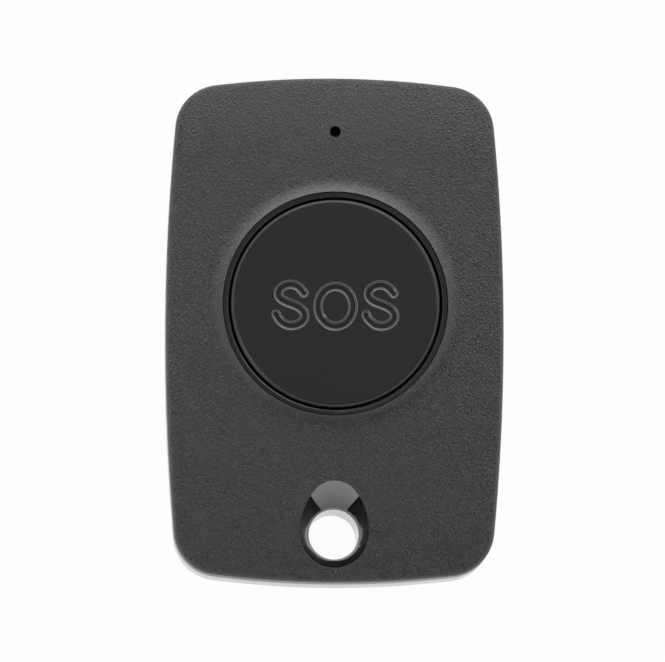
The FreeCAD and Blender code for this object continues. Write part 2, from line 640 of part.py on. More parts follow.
def front_cover():
    """Black moulded cover: crowned shell with the collar, the button's guide and the lanyard scoop."""
    body = crowned_block("front_cover", "0", "rear_depth", "0")

    # Hollow, one wall inside the outline and under the crown, open towards the rear cover
    hollow = body.newObject("PartDesign::Boolean", "front_cover_hollow")
    hollow.Type = "Cut"
    hollow.setObjects([crowned_block("hollow", "wall", "(rear_depth - wall)", "wall")])

    # Locating tongue: the root is part of the wall, the lower part stands clear of the rear cover
    inner = "wall + tongue_gap + tongue_thick"
    pad_to(body, between_outlines("wall - tongue_gap", inner), "rear_depth", "(rear_depth + tongue_root)")
    pad_to(body, between_outlines("wall + tongue_gap", inner), "(rear_depth - tongue_deep)", "rear_depth")

    # Solid round the scoop, from inside the crown down to the top of the lanyard tube
    rim = rim_sketch(body, f"{SCOOP_Y} + scoop_back", under_crown("0", SCOOP_Y),
                     "scoop_big + scoop_wall", "scoop_small + scoop_wall", "scoop_side + scoop_wall")
    foot = flat_sketch(body, TUBE_TOP)
    draw_circle(foot, "0", LANYARD_Y, "scoop_hole_radius + scoop_wall")
    loft(body, "PartDesign::AdditiveLoft", rim, foot)

    # Bosses for the light pipe, the board screws and the housing screws, each up into the crown
    pad_to(body, circle_at("0", LIGHT_Y, "light_boss_radius"),
           PIPE_FLANGE_TOP, under_crown("0", LIGHT_Y))
    for places in (FRONT_BOARD_SCREWS, REAR_BOARD_SCREWS):
        pad_to(body, circles_at(places, "board_boss_radius"), BOARD_TOP, under_crown(*places[0]))
    pad_to(body, circles_at(HOUSING_SCREWS, "screw_boss_radius"),
           "rear_depth", under_crown(*HOUSING_SCREWS[0]))

    # Opening, then its guide, the clamp face and the collar as one turned section
    cut_to(body, circle_at("0", "button_ahead", "opening_radius + lip_round * 2"),
           GUIDE_UNDER, f"({CROWN_TOP} + wall)")
    revolve(body, [
        ("opening_radius", GUIDE_UNDER),
        (POCKET_RADIUS, GUIDE_UNDER),
        (POCKET_RADIUS, CLAMP_UNDER),
        (CLAMP_RADIUS, CLAMP_UNDER),
        (CLAMP_RADIUS, f"{CROWN_TOP} - wall"),
        (f"{COLLAR_RADIUS} + collar_foot", f"{CROWN_TOP} - wall"),
        (f"{COLLAR_RADIUS} + collar_foot", f"{EDGE_TOP} - collar_fall"),
        (COLLAR_RADIUS, EDGE_TOP),
        (COLLAR_RADIUS, f"{LEDGE} - groove_deep"),
        (f"{COLLAR_RADIUS} - groove_width", f"{LEDGE} - groove_deep"),
        (f"{COLLAR_RADIUS} - groove_width", LEDGE),
        ("opening_radius", LEDGE),
    ], ahead="button_ahead")

    # Two keys inside the clamp ring, which keep the button straight
    def draw_keys(sketch):
        inner, outer = "(opening_radius + key_gap)", f"({POCKET_RADIUS} + key_gap)"
        for side in (1, -1):
            middle = f"{side} * ({inner} + {outer}) / 2"
            draw_box(sketch, middle, "button_ahead", f"{outer} - {inner}", "key_width")
    keys = pad_to(body, draw_keys, CLAMP_UNDER, f"({GUIDE_UNDER} + hold_gap)")

    # Rounds of the crown's edge, the collar's foot and the opening's lip, and the bevel at the joint
    edge = round_edges(body, keys, crown_edge, "edge_round")
    bevel = bevel_edges(body, edge, lambda edge: is_at(edge, "rear_depth") and is_outer(edge), "joint_bevel")
    collar = round_edges(body, bevel, collar_foot, "collar_base")
    round_edges(body, collar, lambda edge: is_ring(edge, "opening_radius", LEDGE), "lip_round")

    # Scoop, and the straight hole at its foot
    rim = rim_sketch(body, SCOOP_Y, f"{crown('0', SCOOP_Y)} + scoop_lift",
                     "scoop_big", "scoop_small", "scoop_side")
    foot = flat_sketch(body, SCOOP_FOOT)
    draw_circle(foot, "0", LANYARD_Y, "scoop_hole_radius")
    scoop = loft(body, "PartDesign::SubtractiveLoft", rim, foot)
    round_edges(body, scoop, scoop_rim, "scoop_round")
    cut_to(body, circle_at("0", LANYARD_Y, "scoop_hole_radius"),
           "rear_depth", SCOOP_FOOT)

    # Indicator hole and the pilot holes of the screws
    cut_to(body, circle_at("0", LIGHT_Y, "light_hole_radius"), BOARD_TOP, f"({CROWN_TOP} + wall)")
    cut_to(body, circles_at(FRONT_BOARD_SCREWS + REAR_BOARD_SCREWS, "board_screw_radius"),
           BOARD_TOP, f"({BOARD_TOP} + board_screw_grip + screw_end_gap)")
    cut_to(body, circles_at(HOUSING_SCREWS, "screw_radius"),
           "rear_depth", "(rear_depth + screw_grip + screw_end_gap)")

    # The tongue gives way to the screw posts and to the lanyard tube
    cut_to(body, circles_at(HOUSING_SCREWS, "screw_post_radius + tongue_gap"),
           "(rear_depth - tongue_deep)", "rear_depth")
    cut_to(body, circle_at("0", LANYARD_Y, "lanyard_bore_radius + lanyard_wall + tongue_gap"),
           "(rear_depth - tongue_deep)", TUBE_TOP)


def collar_foot(edge):
    """True for an edge where the collar's slope meets the crown."""
    box = edge.BoundBox
    mark = edge.valueAt((edge.FirstParameter + edge.LastParameter) / 2)
    far = math.hypot(mark.x, mark.y - value("button_ahead"))
    low, high = value(f"{COLLAR_RADIUS} + groove_width"), value(f"{COLLAR_RADIUS} + collar_foot")
    return low < far < high and box.ZMin > value(f"{EDGE_TOP} - collar_fall") and box.ZMax < value(EDGE_TOP)


def scoop_rim(edge):
    """True for an edge where the scoop cuts the crown."""
    box = edge.BoundBox
    mark = edge.valueAt((edge.FirstParameter + edge.LastParameter) / 2)
    near = math.hypot(mark.x, mark.y - value(LANYARD_Y)) < value("scoop_side")
    return near and box.ZMin > value(f"{SCOOP_FOOT} + scoop_round") and not is_outer(edge)


def rear_cover():
    """White moulded cover: tray with rounded back, lanyard tube, screw posts and the cell's rib."""
    body = new_body("rear_cover")
    tray = pad_to(body, draw_outline, "0", "rear_depth")
    back = round_edges(body, tray, lambda edge: is_at(edge, "0"), "rear_round")
    bevel_edges(body, back, lambda edge: is_at(edge, "rear_depth"), "joint_bevel")
    cut_to(body, lambda sketch: draw_outline(sketch, "wall"), "wall", "rear_depth")

    # Lanyard tube with a thicker foot, and the posts of the housing screws
    pad_to(body, circle_at("0", LANYARD_Y, "lanyard_bore_radius + lanyard_wall"), "wall / 2", TUBE_TOP)
    pad_to(body, circle_at("0", LANYARD_Y, "lanyard_foot_radius"),
           "wall / 2", "(rear_depth - tongue_deep - tongue_gap)")
    pad_to(body, circles_at(HOUSING_SCREWS, "screw_post_radius"), "wall / 2", "rear_depth")

    # Rib round the coin cell, open where the clip's legs pass
    inner = "(cell_radius + clip_gap + clip_thick + rib_gap)"
    pad_to(body, circles_at([("0", "0")], f"{inner} + rib_thick"), "wall / 2", "(wall + rib_high)")
    cut_to(body, circles_at([("0", "0")], inner), "wall", "(wall + rib_high)")
    cut_to(body, lambda sketch: draw_box(sketch, "0", "0", f"3 * {inner}", "clip_width + 2 * rib_gap"),
           "wall", "(wall + rib_high)")

    # Groove for the seal, on the inner edge of the rim
    cut_to(body, between_outlines("wall - seal_width", "wall + tongue_gap"),
           "(rear_depth - seal_deep)", "rear_depth")

    # Through holes: the lanyard bore, and a counterbored hole for each housing screw
    cut_to(body, circle_at("0", LANYARD_Y, "lanyard_bore_radius"), "0", TUBE_TOP)
    cut_to(body, circles_at(HOUSING_SCREWS, "screw_head_radius + screw_head_gap"), "0", HEAD_SEAT)
    cut_to(body, circles_at(HOUSING_SCREWS, "screw_radius + screw_gap"), "0", "rear_depth")


def housing_seal():
    """Silicone cord seal, clamped between the two covers in the rear cover's groove."""
    body = new_body("housing_seal")
    pad_to(body, between_outlines("wall - seal_width", "wall"), "(rear_depth - seal_deep)", "rear_depth")


def light_pipe():
    """Smoked light pipe, held by its flange under the boss of the front cover."""
    body = new_body("light_pipe")
    revolve(body, [
        ("0", PIPE_FOOT),
        ("light_foot_radius", PIPE_FOOT),
        ("light_foot_radius", PIPE_FLANGE_TOP),
        ("light_hole_radius - light_gap", PIPE_FLANGE_TOP),
        ("light_hole_radius - light_gap", f"{crown('0', LIGHT_Y)} - light_sunk"),
        ("0", f"{crown('0', LIGHT_Y)} - light_sunk"),
    ], ahead=LIGHT_Y)


# Button, membrane and what clamps it


def sos_button():
    """Black moulded push button: cap, skirt with a holding flange, boss over the switch and ribs."""
    body = new_body("sos_button")
    inner = f"{BUTTON_RADIUS} - button_skirt"
    cap = revolve(body, [
        ("0", CAP_UNDER),
        (inner, CAP_UNDER),
        (inner, FLANGE_UNDER),
        (FLANGE_RADIUS, FLANGE_UNDER),
        (FLANGE_RADIUS, FLANGE_TOP),
        (BUTTON_RADIUS, FLANGE_TOP),
        (BUTTON_RADIUS, BUTTON_FACE),
        ("0", BUTTON_FACE),
    ], ahead="button_ahead")
    round_edges(body, cap, lambda edge: is_ring(edge, BUTTON_RADIUS, BUTTON_FACE), "button_round")
    inside_cap = f"({CAP_UNDER} + button_wall / 2)"
    pad_to(body, circle_at("0", "button_ahead", "boss_radius"), CREST_TOP, inside_cap)

    # Six ribs from the boss out to the skirt
    reach = f"({BUTTON_RADIUS} - button_skirt / 2)"
    rib = pad_to(body, lambda sketch: draw_box(sketch, f"{reach} / 2", "button_ahead", reach, "boss_rib"),
                 f"({CAP_UNDER} - boss_rib_deep)", inside_cap)
    axis_sketch = new_sketch(body, "XZ_Plane", z="-button_ahead")
    ribs = body.newObject("PartDesign::PolarPattern", "sos_button_ribs")
    ribs.Originals = [rib]
    ribs.Axis = (axis_sketch, ["V_Axis"])
    ribs.Angle = 360
    ribs.Occurrences = 6
    body.Tip = ribs

    # Notches in the flange for the keys of the front cover
    def draw_notches(sketch):
        for side in (1, -1):
            middle = f"{side} * ({BUTTON_RADIUS} + flange_width)"
            draw_box(sketch, middle, "button_ahead", "2 * flange_width", "key_width + 2 * key_gap")
    cut_to(body, draw_notches, FLANGE_UNDER, FLANGE_TOP)


def button_membrane():
    """Silicone membrane: clamped bead, thin web, and a raised middle that the button presses."""
    body = new_body("button_membrane")
    bead_inner = f"{POCKET_RADIUS} + bead_shift"
    bead_outer = f"{POCKET_RADIUS} + bead_shift + bead_width"
    revolve(body, [
        ("0", STEM_TOP),
        ("crest_radius", STEM_TOP),
        ("crest_radius + cone_width", WEB_UNDER),
        (bead_outer, WEB_UNDER),
        (bead_outer, CLAMP_UNDER),
        (bead_inner, CLAMP_UNDER),
        (bead_inner, WEB_TOP),
        ("crest_radius + cone_width + cone_wall", WEB_TOP),
        ("crest_radius + cone_wall", CREST_TOP),
        ("0", CREST_TOP),
    ], ahead="button_ahead")


def membrane_retainer():
    """Moulded ring that stands on the board and holds the membrane's bead against the front cover."""
    body = new_body("membrane_retainer")

    def draw(sketch):
        draw_circle(sketch, "0", "button_ahead", POCKET_RADIUS)
        draw_circle(sketch, "0", "button_ahead", CLAMP_RADIUS)
    pad_to(body, draw, BOARD_TOP, WEB_UNDER)


# Tact switch under the button


def switch_base():
    """Moulded base of the switch, with the well of its dome."""
    body = new_body("switch_base")
    pad_to(body, lambda sketch: draw_box(sketch, "0", "button_ahead", "switch_width", "switch_width"),
           BOARD_TOP, SWITCH_TOP)
    cut_to(body, circle_at("0", "button_ahead", "switch_well_radius"), WELL_FLOOR, SWITCH_TOP)


def switch_cover():
    """Sheet steel cover of the switch, with a hole for the stem and two tabs down the sides."""
    body = new_body("switch_cover")
    pad_to(body, lambda sketch: draw_box(sketch, "0", "button_ahead", "switch_width",
                                         "switch_width + 2 * switch_plate"), SWITCH_TOP, PLATE_TOP)

    def draw_tabs(sketch):
        for side in (1, -1):
            middle = f"button_ahead + {side} * (switch_width + switch_plate) / 2"
            draw_box(sketch, "0", middle, "switch_tab", "switch_plate")
    pad_to(body, draw_tabs, f"({SWITCH_TOP} - switch_tab_deep)", PLATE_TOP)
    cut_to(body, circle_at("0", "button_ahead", "stem_radius + stem_gap"), SWITCH_TOP, PLATE_TOP)


def switch_dome():
    """Sprung steel dome that snaps through under the plunger."""
    body = new_body("switch_dome")
    rise = f"({DOME_TOP} - {WELL_FLOOR})"
    sphere = f"((dome_radius ^ 2 + {rise} ^ 2) / (2 * {rise}))"
    plane = next(feature for feature in body.Origin.OriginFeatures if feature.Role == "XY_Plane")
    for kind, radius in (("Additive", sphere), ("Subtractive", f"({sphere} - dome_thick)")):
        cap = body.newObject(f"PartDesign::{kind}Sphere", "switch_dome_cap")
        cap.AttachmentSupport = [(plane, "")]
        cap.MapMode = "FlatFace"
        bind(cap, "AttachmentOffset.Base.y", "button_ahead")
        bind(cap, "AttachmentOffset.Base.z", f"{DOME_TOP} - {sphere}")
        bind(cap, "Radius", radius)
        bind(cap, "Angle1", f"asin(({sphere} - {rise}) / {radius})")


def switch_plunger():
    """Moulded plunger: stem through the cover's hole and a flange that keeps it in."""
    body = new_body("switch_plunger")
    revolve(body, [
        ("0", DOME_TOP),
        ("stem_foot_radius", DOME_TOP),
        ("stem_foot_radius", f"{DOME_TOP} + stem_flange_thick"),
        ("stem_radius", f"{DOME_TOP} + stem_flange_thick"),
        ("stem_radius", STEM_TOP),
        ("0", STEM_TOP),
    ], ahead="button_ahead")


def switch_terminals():
    """Four tinned leads, each out of the base, down and flat on the board."""
    body = new_body("switch_terminals")
    near, bend, far = "switch_width / 2", "switch_width / 2 + lead_drop", "switch_width / 2 + lead_reach"
    high = f"{BOARD_TOP} + lead_high"
    for side in (1, -1):
        for row in (1, -1):
            shift = f"-(button_ahead + {row} * lead_spread)"
            sketch = new_sketch(body, "XZ_Plane", z=shift)
            draw_polygon(sketch, [(f"{side} * ({x})", z) for x, z in (
                (near, high),
                (bend, high),
                (bend, f"{BOARD_TOP} + lead_thick"),
                (far, f"{BOARD_TOP} + lead_thick"),
                (far, BOARD_TOP),
                (f"{bend} - lead_thick", BOARD_TOP),
                (f"{bend} - lead_thick", f"{high} - lead_thick"),
                (near, f"{high} - lead_thick"),
            )])
            pad(body, sketch, "lead_width", both=True)


# Cell and its clip


def coin_cell():
    """Coin cell: a can with a smaller stepped face towards the board."""
    body = new_body("coin_cell")
    foot, top = CELL_UNDER, f"{CELL_UNDER} + cell_thick"
    can = revolve(body, [
        ("0", foot),
        ("cell_radius", foot),
        ("cell_radius", f"{top} - cell_step"),
        ("cell_lid", f"{top} - cell_step"),
        ("cell_lid", top),
        ("0", top),
    ])
    round_edges(body, can, lambda edge: is_ring(edge, "cell_radius", foot), "cell_step")


def cell_clip():
    """Sprung steel strap under the cell, its two feet soldered to the underside of the board."""
    body = new_body("cell_clip")
    leg, foot = "(cell_radius + clip_gap)", "(cell_radius + clip_gap + clip_foot)"
    low = "wall + foam_thick"
    sketch = new_sketch(body, "XZ_Plane")
    half = [
        (foot, BOARD_UNDER),
        (leg, BOARD_UNDER),
        (leg, CELL_UNDER),
    ]
    back = [
        (f"{leg} + clip_thick", low),
        (f"{leg} + clip_thick", f"{BOARD_UNDER} - clip_thick"),
        (foot, f"{BOARD_UNDER} - clip_thick"),
    ]
    draw_polygon(sketch, half + [(f"-({x})", z) for x, z in half[::-1] + back[::-1]] + back)
    strap = pad(body, sketch, "clip_width", both=True)

    # Bends: the corners inside each bend, then those outside it
    inside = [(leg, CELL_UNDER), (f"{leg} + clip_thick", f"{BOARD_UNDER} - clip_thick")]
    outside = [(leg, BOARD_UNDER), (f"{leg} + clip_thick", low)]
    bent = round_edges(body, strap, lambda edge: is_bend(edge, inside), "clip_bend")
    round_edges(body, bent, lambda edge: is_bend(edge, outside), "clip_bend + clip_thick")


def is_bend(edge, corners):
    """True for an edge that runs across the clip at one of the corners, on either side."""
    start, end = [vertex.Point for vertex in edge.Vertexes]
    across = abs(start.x - end.x) < NEAR and abs(start.z - end.z) < NEAR
    places = [(value(x), value(z)) for x, z in corners]
    return across and any(abs(abs(start.x) - x) < NEAR and abs(start.z - z) < NEAR for x, z in places)


def cell_contact():
    """Phosphor bronze leaf from the underside of the board to the cell."""
    body = new_body("cell_contact")
    low, high = f"{BOARD_UNDER} - contact_space", BOARD_UNDER
    tip, slope = "contact_tip", "contact_tip + contact_slope"
    far = "contact_tip + contact_slope + contact_foot"
    sketch = new_sketch(body, "YZ_Plane")
    draw_polygon(sketch, [
        ("0", low),
        (f"{tip} + contact_thick", low),
        (f"{slope} + contact_thick", f"{high} - contact_thick"),
        (far, f"{high} - contact_thick"),
        (far, high),
        (slope, high),
        (tip, f"{low} + contact_thick"),
        ("0", f"{low} + contact_thick"),
    ])
    pad(body, sketch, "contact_width", both=True)


def cell_pad():
    """Foam pad that keeps the clip and cell from rattling on the rear cover."""
    body = new_body("cell_pad")
    pad_to(body, lambda sketch: draw_box(sketch, "0", "0", "foam_long", "foam_wide"),
           "wall", "(wall + foam_thick)")


# Board and what is on it


def circuit_board():
    """Board cut to the housing's outline, short of the lanyard tube and notched round the posts."""
    body = new_body("circuit_board")
    pad_to(body, lambda sketch: draw_outline(sketch, "board_inset"), BOARD_UNDER, BOARD_TOP)
    cut_to(body, lambda sketch: draw_box(sketch, "0", "(board_margin - body_length) / 2",
                                         "body_width", "board_margin"), BOARD_UNDER, BOARD_TOP)
    cut_to(body, circles_at(HOUSING_SCREWS[:2], "board_notch_radius"), BOARD_UNDER, BOARD_TOP)
    cut_to(body, circles_at(FRONT_BOARD_SCREWS + REAR_BOARD_SCREWS, "board_screw_radius + board_screw_gap"),
           BOARD_UNDER, BOARD_TOP)


def status_led():
    """Small surface mount indicator: base and lens."""
    body = new_body("status_led")
    pad_to(body, lambda sketch: draw_box(sketch, "0", LIGHT_Y, "led_long", "led_wide"),
           BOARD_TOP, f"({BOARD_TOP} + led_base_high)")
    pad_to(body, lambda sketch: draw_box(sketch, "0", LIGHT_Y, "led_lens", "led_wide"),
           BOARD_TOP, f"({BOARD_TOP} + led_high)")


def radio_chip():
    """Flat radio package with a small dimple at its first lead."""
    body = new_body("radio_chip")
    pad_to(body, lambda sketch: draw_box(sketch, CHIP_X, "button_ahead - chip_behind",
                                         "chip_side", "chip_side"),
           BOARD_TOP, f"({BOARD_TOP} + chip_high)")
    corner = "chip_side / 3"
    dimple = circle_at(f"{CHIP_X} - {corner}", f"button_ahead - chip_behind + {corner}", "chip_side / 14")
    cut_to(body, dimple, f"({BOARD_TOP} + chip_high * 0.9)", f"({BOARD_TOP} + chip_high)")


def crystal():
    """Crystal in a ceramic base with a metal lid."""
    body = new_body("crystal")
    place = (CHIP_X, "button_ahead + crystal_ahead")
    pad_to(body, lambda sketch: draw_box(sketch, *place, "crystal_long", "crystal_wide"),
           BOARD_TOP, f"({BOARD_TOP} + crystal_base)")
    pad_to(body, lambda sketch: draw_box(sketch, *place, "crystal_long - 2 * crystal_rim",
                                         "crystal_wide - 2 * crystal_rim"),
           BOARD_TOP, f"({BOARD_TOP} + crystal_high)")


def chip_antenna():
    """Ceramic chip antenna on the end of the board."""
    body = new_body("chip_antenna")
    x = "-(light_boss_radius + antenna_gap + antenna_long / 2)"
    y = "body_length / 2 - antenna_margin"
    pad_to(body, lambda sketch: draw_box(sketch, x, y, "antenna_long", "antenna_wide"),
           BOARD_TOP, f"({BOARD_TOP} + antenna_high)")


def capacitors():
    """Six capacitors in two columns, right of the switch."""
    body = new_body("capacitors")

    def draw(sketch):
        for column in range(2):
            for line in range(3):
                x = f"{POCKET_RADIUS} - capacitor_margin + {column} * small_pitch_long"
                y = f"button_ahead - capacitor_behind + {line} * small_pitch_wide"
                draw_box(sketch, x, y, "small_long", "small_wide")
    pad_to(body, draw, BOARD_TOP, f"({BOARD_TOP} + capacitor_high)")


def resistors():
    """Six resistors in three columns, behind the switch."""
    body = new_body("resistors")

    def draw(sketch):
        for column in (-1, 0, 1):
            for line in range(2):
                y = f"button_ahead - {POCKET_RADIUS} + resistor_margin - {line} * small_pitch_wide"
                draw_box(sketch, f"{column} * small_pitch_long", y, "small_long", "small_wide")
    pad_to(body, draw, BOARD_TOP, f"({BOARD_TOP} + resistor_high)")


# Screws


def draw_crosses(places):
    """Draws a cross recess at each place."""
    def draw(sketch):
        long, wide = "cross_long / 2", "cross_wide / 2"
        arm = [(long, wide), (wide, wide), (wide, long)]
        for x, y in places:
            corners = []
            for i, j in CORNERS:
                turn = arm if i * j > 0 else arm[::-1]
                corners += [(f"({x}) + {i} * {a}", f"({y}) + {j} * {b}") for a, b in turn]
            draw_polygon(sketch, corners)
    return draw


def screws(name, places, head, under, seat, core, tip):
    """A group of like screws: head from under up to its seat, shank up to the tip."""
    body = new_body(name)
    pad_to(body, circles_at(places, head), under, seat)
    pad_to(body, circles_at(places, core), under, tip)
    cut_to(body, draw_crosses(places), under, f"({under} + cross_deep)")


front_cover()
rear_cover()
housing_seal()
light_pipe()
sos_button()
button_membrane()
membrane_retainer()
switch_base()
switch_cover()
switch_dome()
switch_plunger()
switch_terminals()
coin_cell()
cell_clip()
cell_contact()
cell_pad()
circuit_board()
status_led()
radio_chip()
crystal()
chip_antenna()
capacitors()
resistors()
screws("board_screws", FRONT_BOARD_SCREWS + REAR_BOARD_SCREWS, "board_screw_head_radius",
       f"({BOARD_UNDER} - board_screw_head_deep)", BOARD_UNDER,
       "board_screw_radius", f"({BOARD_TOP} + board_screw_grip)")
screws("housing_screws", HOUSING_SCREWS, "screw_head_radius", "screw_sunk", HEAD_SEAT,
       "screw_radius", "(rear_depth + screw_grip)")

# Checks, then one file for each sub-part
doc.recompute()
faults = [f"{thing.Name}: {thing.State}" for thing in doc.Objects
          if "Invalid" in thing.State or "Error" in thing.State]
for thing in doc.Objects:
    if thing.isDerivedFrom("PartDesign::FeatureSubtractive") or thing.isDerivedFrom("PartDesign::Groove"):
        if thing.Shape.Volume > thing.BaseFeature.Shape.Volume - NEAR:
            faults.append(f"{thing.Name}: cuts nothing")
bodies = [thing for thing in doc.Objects if thing.TypeId == "PartDesign::Body" and thing.Name != "hollow"]
for body in bodies:
    if body.Shape.isNull() or not body.Shape.isValid() or not body.Shape.Solids:
        faults.append(f"{body.Label}: no valid shape")
if faults:
    raise SystemExit("\n".join(faults))

os.makedirs(OUT, exist_ok=True)
for body in bodies:
    body.Shape.exportStep(f"{OUT}/{body.Label}.step")
    print(body.Label, len(body.Shape.Solids), round(body.Shape.Volume, 2))
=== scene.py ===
"""Wireless panic button that lies on its back: a moulded case with a large SOS button and a lanyard hole."""

import bpy
import bmesh
import math
from mathutils import Matrix, Vector
from mathutils.geometry import delaunay_2d_cdt, interpolate_bezier


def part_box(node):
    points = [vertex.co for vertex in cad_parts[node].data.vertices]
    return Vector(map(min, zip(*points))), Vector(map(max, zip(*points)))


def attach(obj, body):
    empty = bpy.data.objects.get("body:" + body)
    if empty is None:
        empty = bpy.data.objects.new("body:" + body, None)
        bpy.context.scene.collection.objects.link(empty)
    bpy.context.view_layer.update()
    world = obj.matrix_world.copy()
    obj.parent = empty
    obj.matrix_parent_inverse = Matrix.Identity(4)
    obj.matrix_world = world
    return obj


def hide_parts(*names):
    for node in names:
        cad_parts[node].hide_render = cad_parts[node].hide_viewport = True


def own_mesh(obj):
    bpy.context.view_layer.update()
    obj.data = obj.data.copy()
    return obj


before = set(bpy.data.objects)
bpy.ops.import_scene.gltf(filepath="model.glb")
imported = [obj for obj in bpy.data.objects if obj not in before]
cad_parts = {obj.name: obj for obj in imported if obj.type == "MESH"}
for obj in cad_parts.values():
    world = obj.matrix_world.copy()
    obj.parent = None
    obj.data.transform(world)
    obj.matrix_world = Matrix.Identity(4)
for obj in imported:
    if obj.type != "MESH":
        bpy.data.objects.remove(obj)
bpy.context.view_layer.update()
MM = 0.001


# Rear cover: the white half of the case, with the tube of the lanyard hole moulded on.
# ABS injection moulding with a satin finish; its rim shows as a light line under the black half.
def linear(code):
    """Linear colour with alpha from an sRGB hex value."""
    channels = [int(code[i:i + 2], 16) / 255 for i in (1, 3, 5)]
    return [c / 12.92 if c <= 0.04045 else ((c + 0.055) / 1.055) ** 2.4 for c in channels] + [1.0]


def add_node(tree, kind, settings=None, inputs=None):
    """Adds a node with its settings; an input is a value or the socket that feeds it."""
    node = tree.nodes.new(kind)
    for name, setting in (settings or {}).items():
        setattr(node, name, setting)
    for name, feed in (inputs or {}).items():
        if isinstance(feed, bpy.types.NodeSocket):
            tree.links.new(feed, node.inputs[name])
        else:
            node.inputs[name].default_value = feed
    return node


def new_material(name):
    """An empty material, its node tree and the piece's own coordinates in metres."""
    material = bpy.data.materials.new(name)
    material.use_nodes = True
    material.node_tree.nodes.clear()
    place = add_node(material.node_tree, "ShaderNodeTexCoord").outputs["Object"]
    return material, material.node_tree, place


def show(tree, **inputs):
    """The surface of a material: one principled shader on its output."""
    named = {name.replace("_", " "): feed for name, feed in inputs.items()}
    shader = add_node(tree, "ShaderNodeBsdfPrincipled", None, named)
    add_node(tree, "ShaderNodeOutputMaterial", None, {"Surface": shader.outputs[0]})


# Patches of slightly different tone in a moulding, about 11 mm across
TONE_PATCHES = 90.0
ABS_IOR = 1.53


def moulded(name, light, dark, roughness, spread, grain, depth, ior=ABS_IOR):
    """Moulded plastic: a faint drift of colour, uneven gloss and the fine grain of the mould.

    The grain is a number of bumps to a metre, and its depth is in metres."""
    material, tree, place = new_material(name)
    cloud = add_node(tree, "ShaderNodeTexNoise", None,
                     {"Vector": place, "Scale": TONE_PATCHES, "Detail": 3.0})
    tone = add_node(tree, "ShaderNodeMix", {"data_type": "RGBA"},
                    {"Factor": cloud.outputs["Fac"], "A": linear(dark), "B": linear(light)})
    skin = add_node(tree, "ShaderNodeTexNoise", None,
                    {"Vector": place, "Scale": grain, "Detail": 3.0, "Roughness": 0.6})
    gloss = add_node(tree, "ShaderNodeMapRange", None, {
        "Value": skin.outputs["Fac"], "To Min": roughness - spread, "To Max": roughness + spread})
    relief = add_node(tree, "ShaderNodeBump", None,
                      {"Strength": 0.6, "Distance": depth, "Height": skin.outputs["Fac"]})
    show(tree, Base_Color=tone.outputs[2], Roughness=gloss.outputs[0], Normal=relief.outputs[0], IOR=ior)
    return material


def settle(piece):
    """Turns a piece with live modifiers into a plain mesh."""
    ready = piece.evaluated_get(bpy.context.evaluated_depsgraph_get())
    mesh = bpy.data.meshes.new_from_object(ready)
    piece.modifiers.clear()
    piece.data = mesh


SHARP_EDGE = math.radians(32)


def even_normals(piece):
    """Smooth faces that break at real edges, with the large faces left flat."""
    skin = bmesh.new()
    skin.from_mesh(piece.data)
    for face in skin.faces:
        face.smooth = True
    for edge in skin.edges:
        edge.smooth = edge.calc_face_angle(math.pi) < SHARP_EDGE
    skin.to_mesh(piece.data)
    skin.free()
    weigh = piece.modifiers.new("even", "WEIGHTED_NORMAL")
    weigh.keep_sharp = True
    settle(piece)


# Points of a CAD skin nearer than this are one point
SAME_POINT = 1e-6


def merged(node):
    """The CAD node's skin as one closed mesh."""
    skin = bmesh.new()
    skin.from_mesh(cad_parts[node].data)
    bmesh.ops.remove_doubles(skin, verts=skin.verts, dist=SAME_POINT)
    return skin


def smooth_copy(node, body, *materials):
    """A merged copy of a CAD node with smooth faces, in its place."""
    skin = merged(node)
    mesh = bpy.data.meshes.new(node + "_skin")
    skin.to_mesh(mesh)
    skin.free()
    for material in materials:
        mesh.materials.append(material)
    piece = bpy.data.objects.new(node + "_skin", mesh)
    bpy.context.scene.collection.objects.link(piece)
    even_normals(piece)
    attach(piece, body)
    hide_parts(node)
    return piece


# Satin white ABS: soft broad highlights and a slightly warm, milky white
satin_white_abs = moulded("satin_white_abs", "#e9e7e2", "#e4e2dc", roughness=0.42, spread=0.05,
                          grain=2600.0, depth=0.012 * MM)
# Polished white ABS: the bore of the tube, which mirrors the white paper below, painted paler than the rest
# of the cover as painted light against the shade inside the bore
polished_white_abs = moulded("polished_white_abs", "#f2f1ee", "#eeece8", roughness=0.12, spread=0.03,
                             grain=2600.0, depth=0.002 * MM)
HOLE = Vector((0.0, -24.55 * MM))
# Radius of the bore, with a little to spare
BORE = 3.02 * MM
rear = smooth_copy("rear_cover", "housing", satin_white_abs, polished_white_abs)
for polygon in rear.data.polygons:
    corners = [rear.data.vertices[i].co for i in polygon.vertices]
    if all(math.hypot(c.x - HOLE.x, c.y - HOLE.y) < BORE for c in corners):
        polygon.material_index = 1


# Seal between the halves of the case: an endless cord of moulded silicone rubber.
# It lies in a groove of the rear cover, and the two halves pinch it.
def dress(node, material):
    """Gives a CAD node its material."""
    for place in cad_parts[node].material_slots:
        place.material = material


# Grey silicone rubber: dull, with a faint bloom
grey_silicone = moulded("grey_silicone_rubber", "#6d6e70", "#5f6062", roughness=0.62, spread=0.06,
                        grain=1800.0, depth=0.01 * MM, ior=1.43)
dress("housing_seal", grey_silicone)


# Coin cell, with the clip that holds it under the board, its contact and a pad against rattling.
# The cell and the stamped clip are plated steel, the contact is a leaf of bronze, and the pad is foam.

# How far the gloss of a metal sheet strays, and the depth of its rolling marks
SHEET_SPREAD = 0.08
SHEET_MARKS = 0.004 * MM


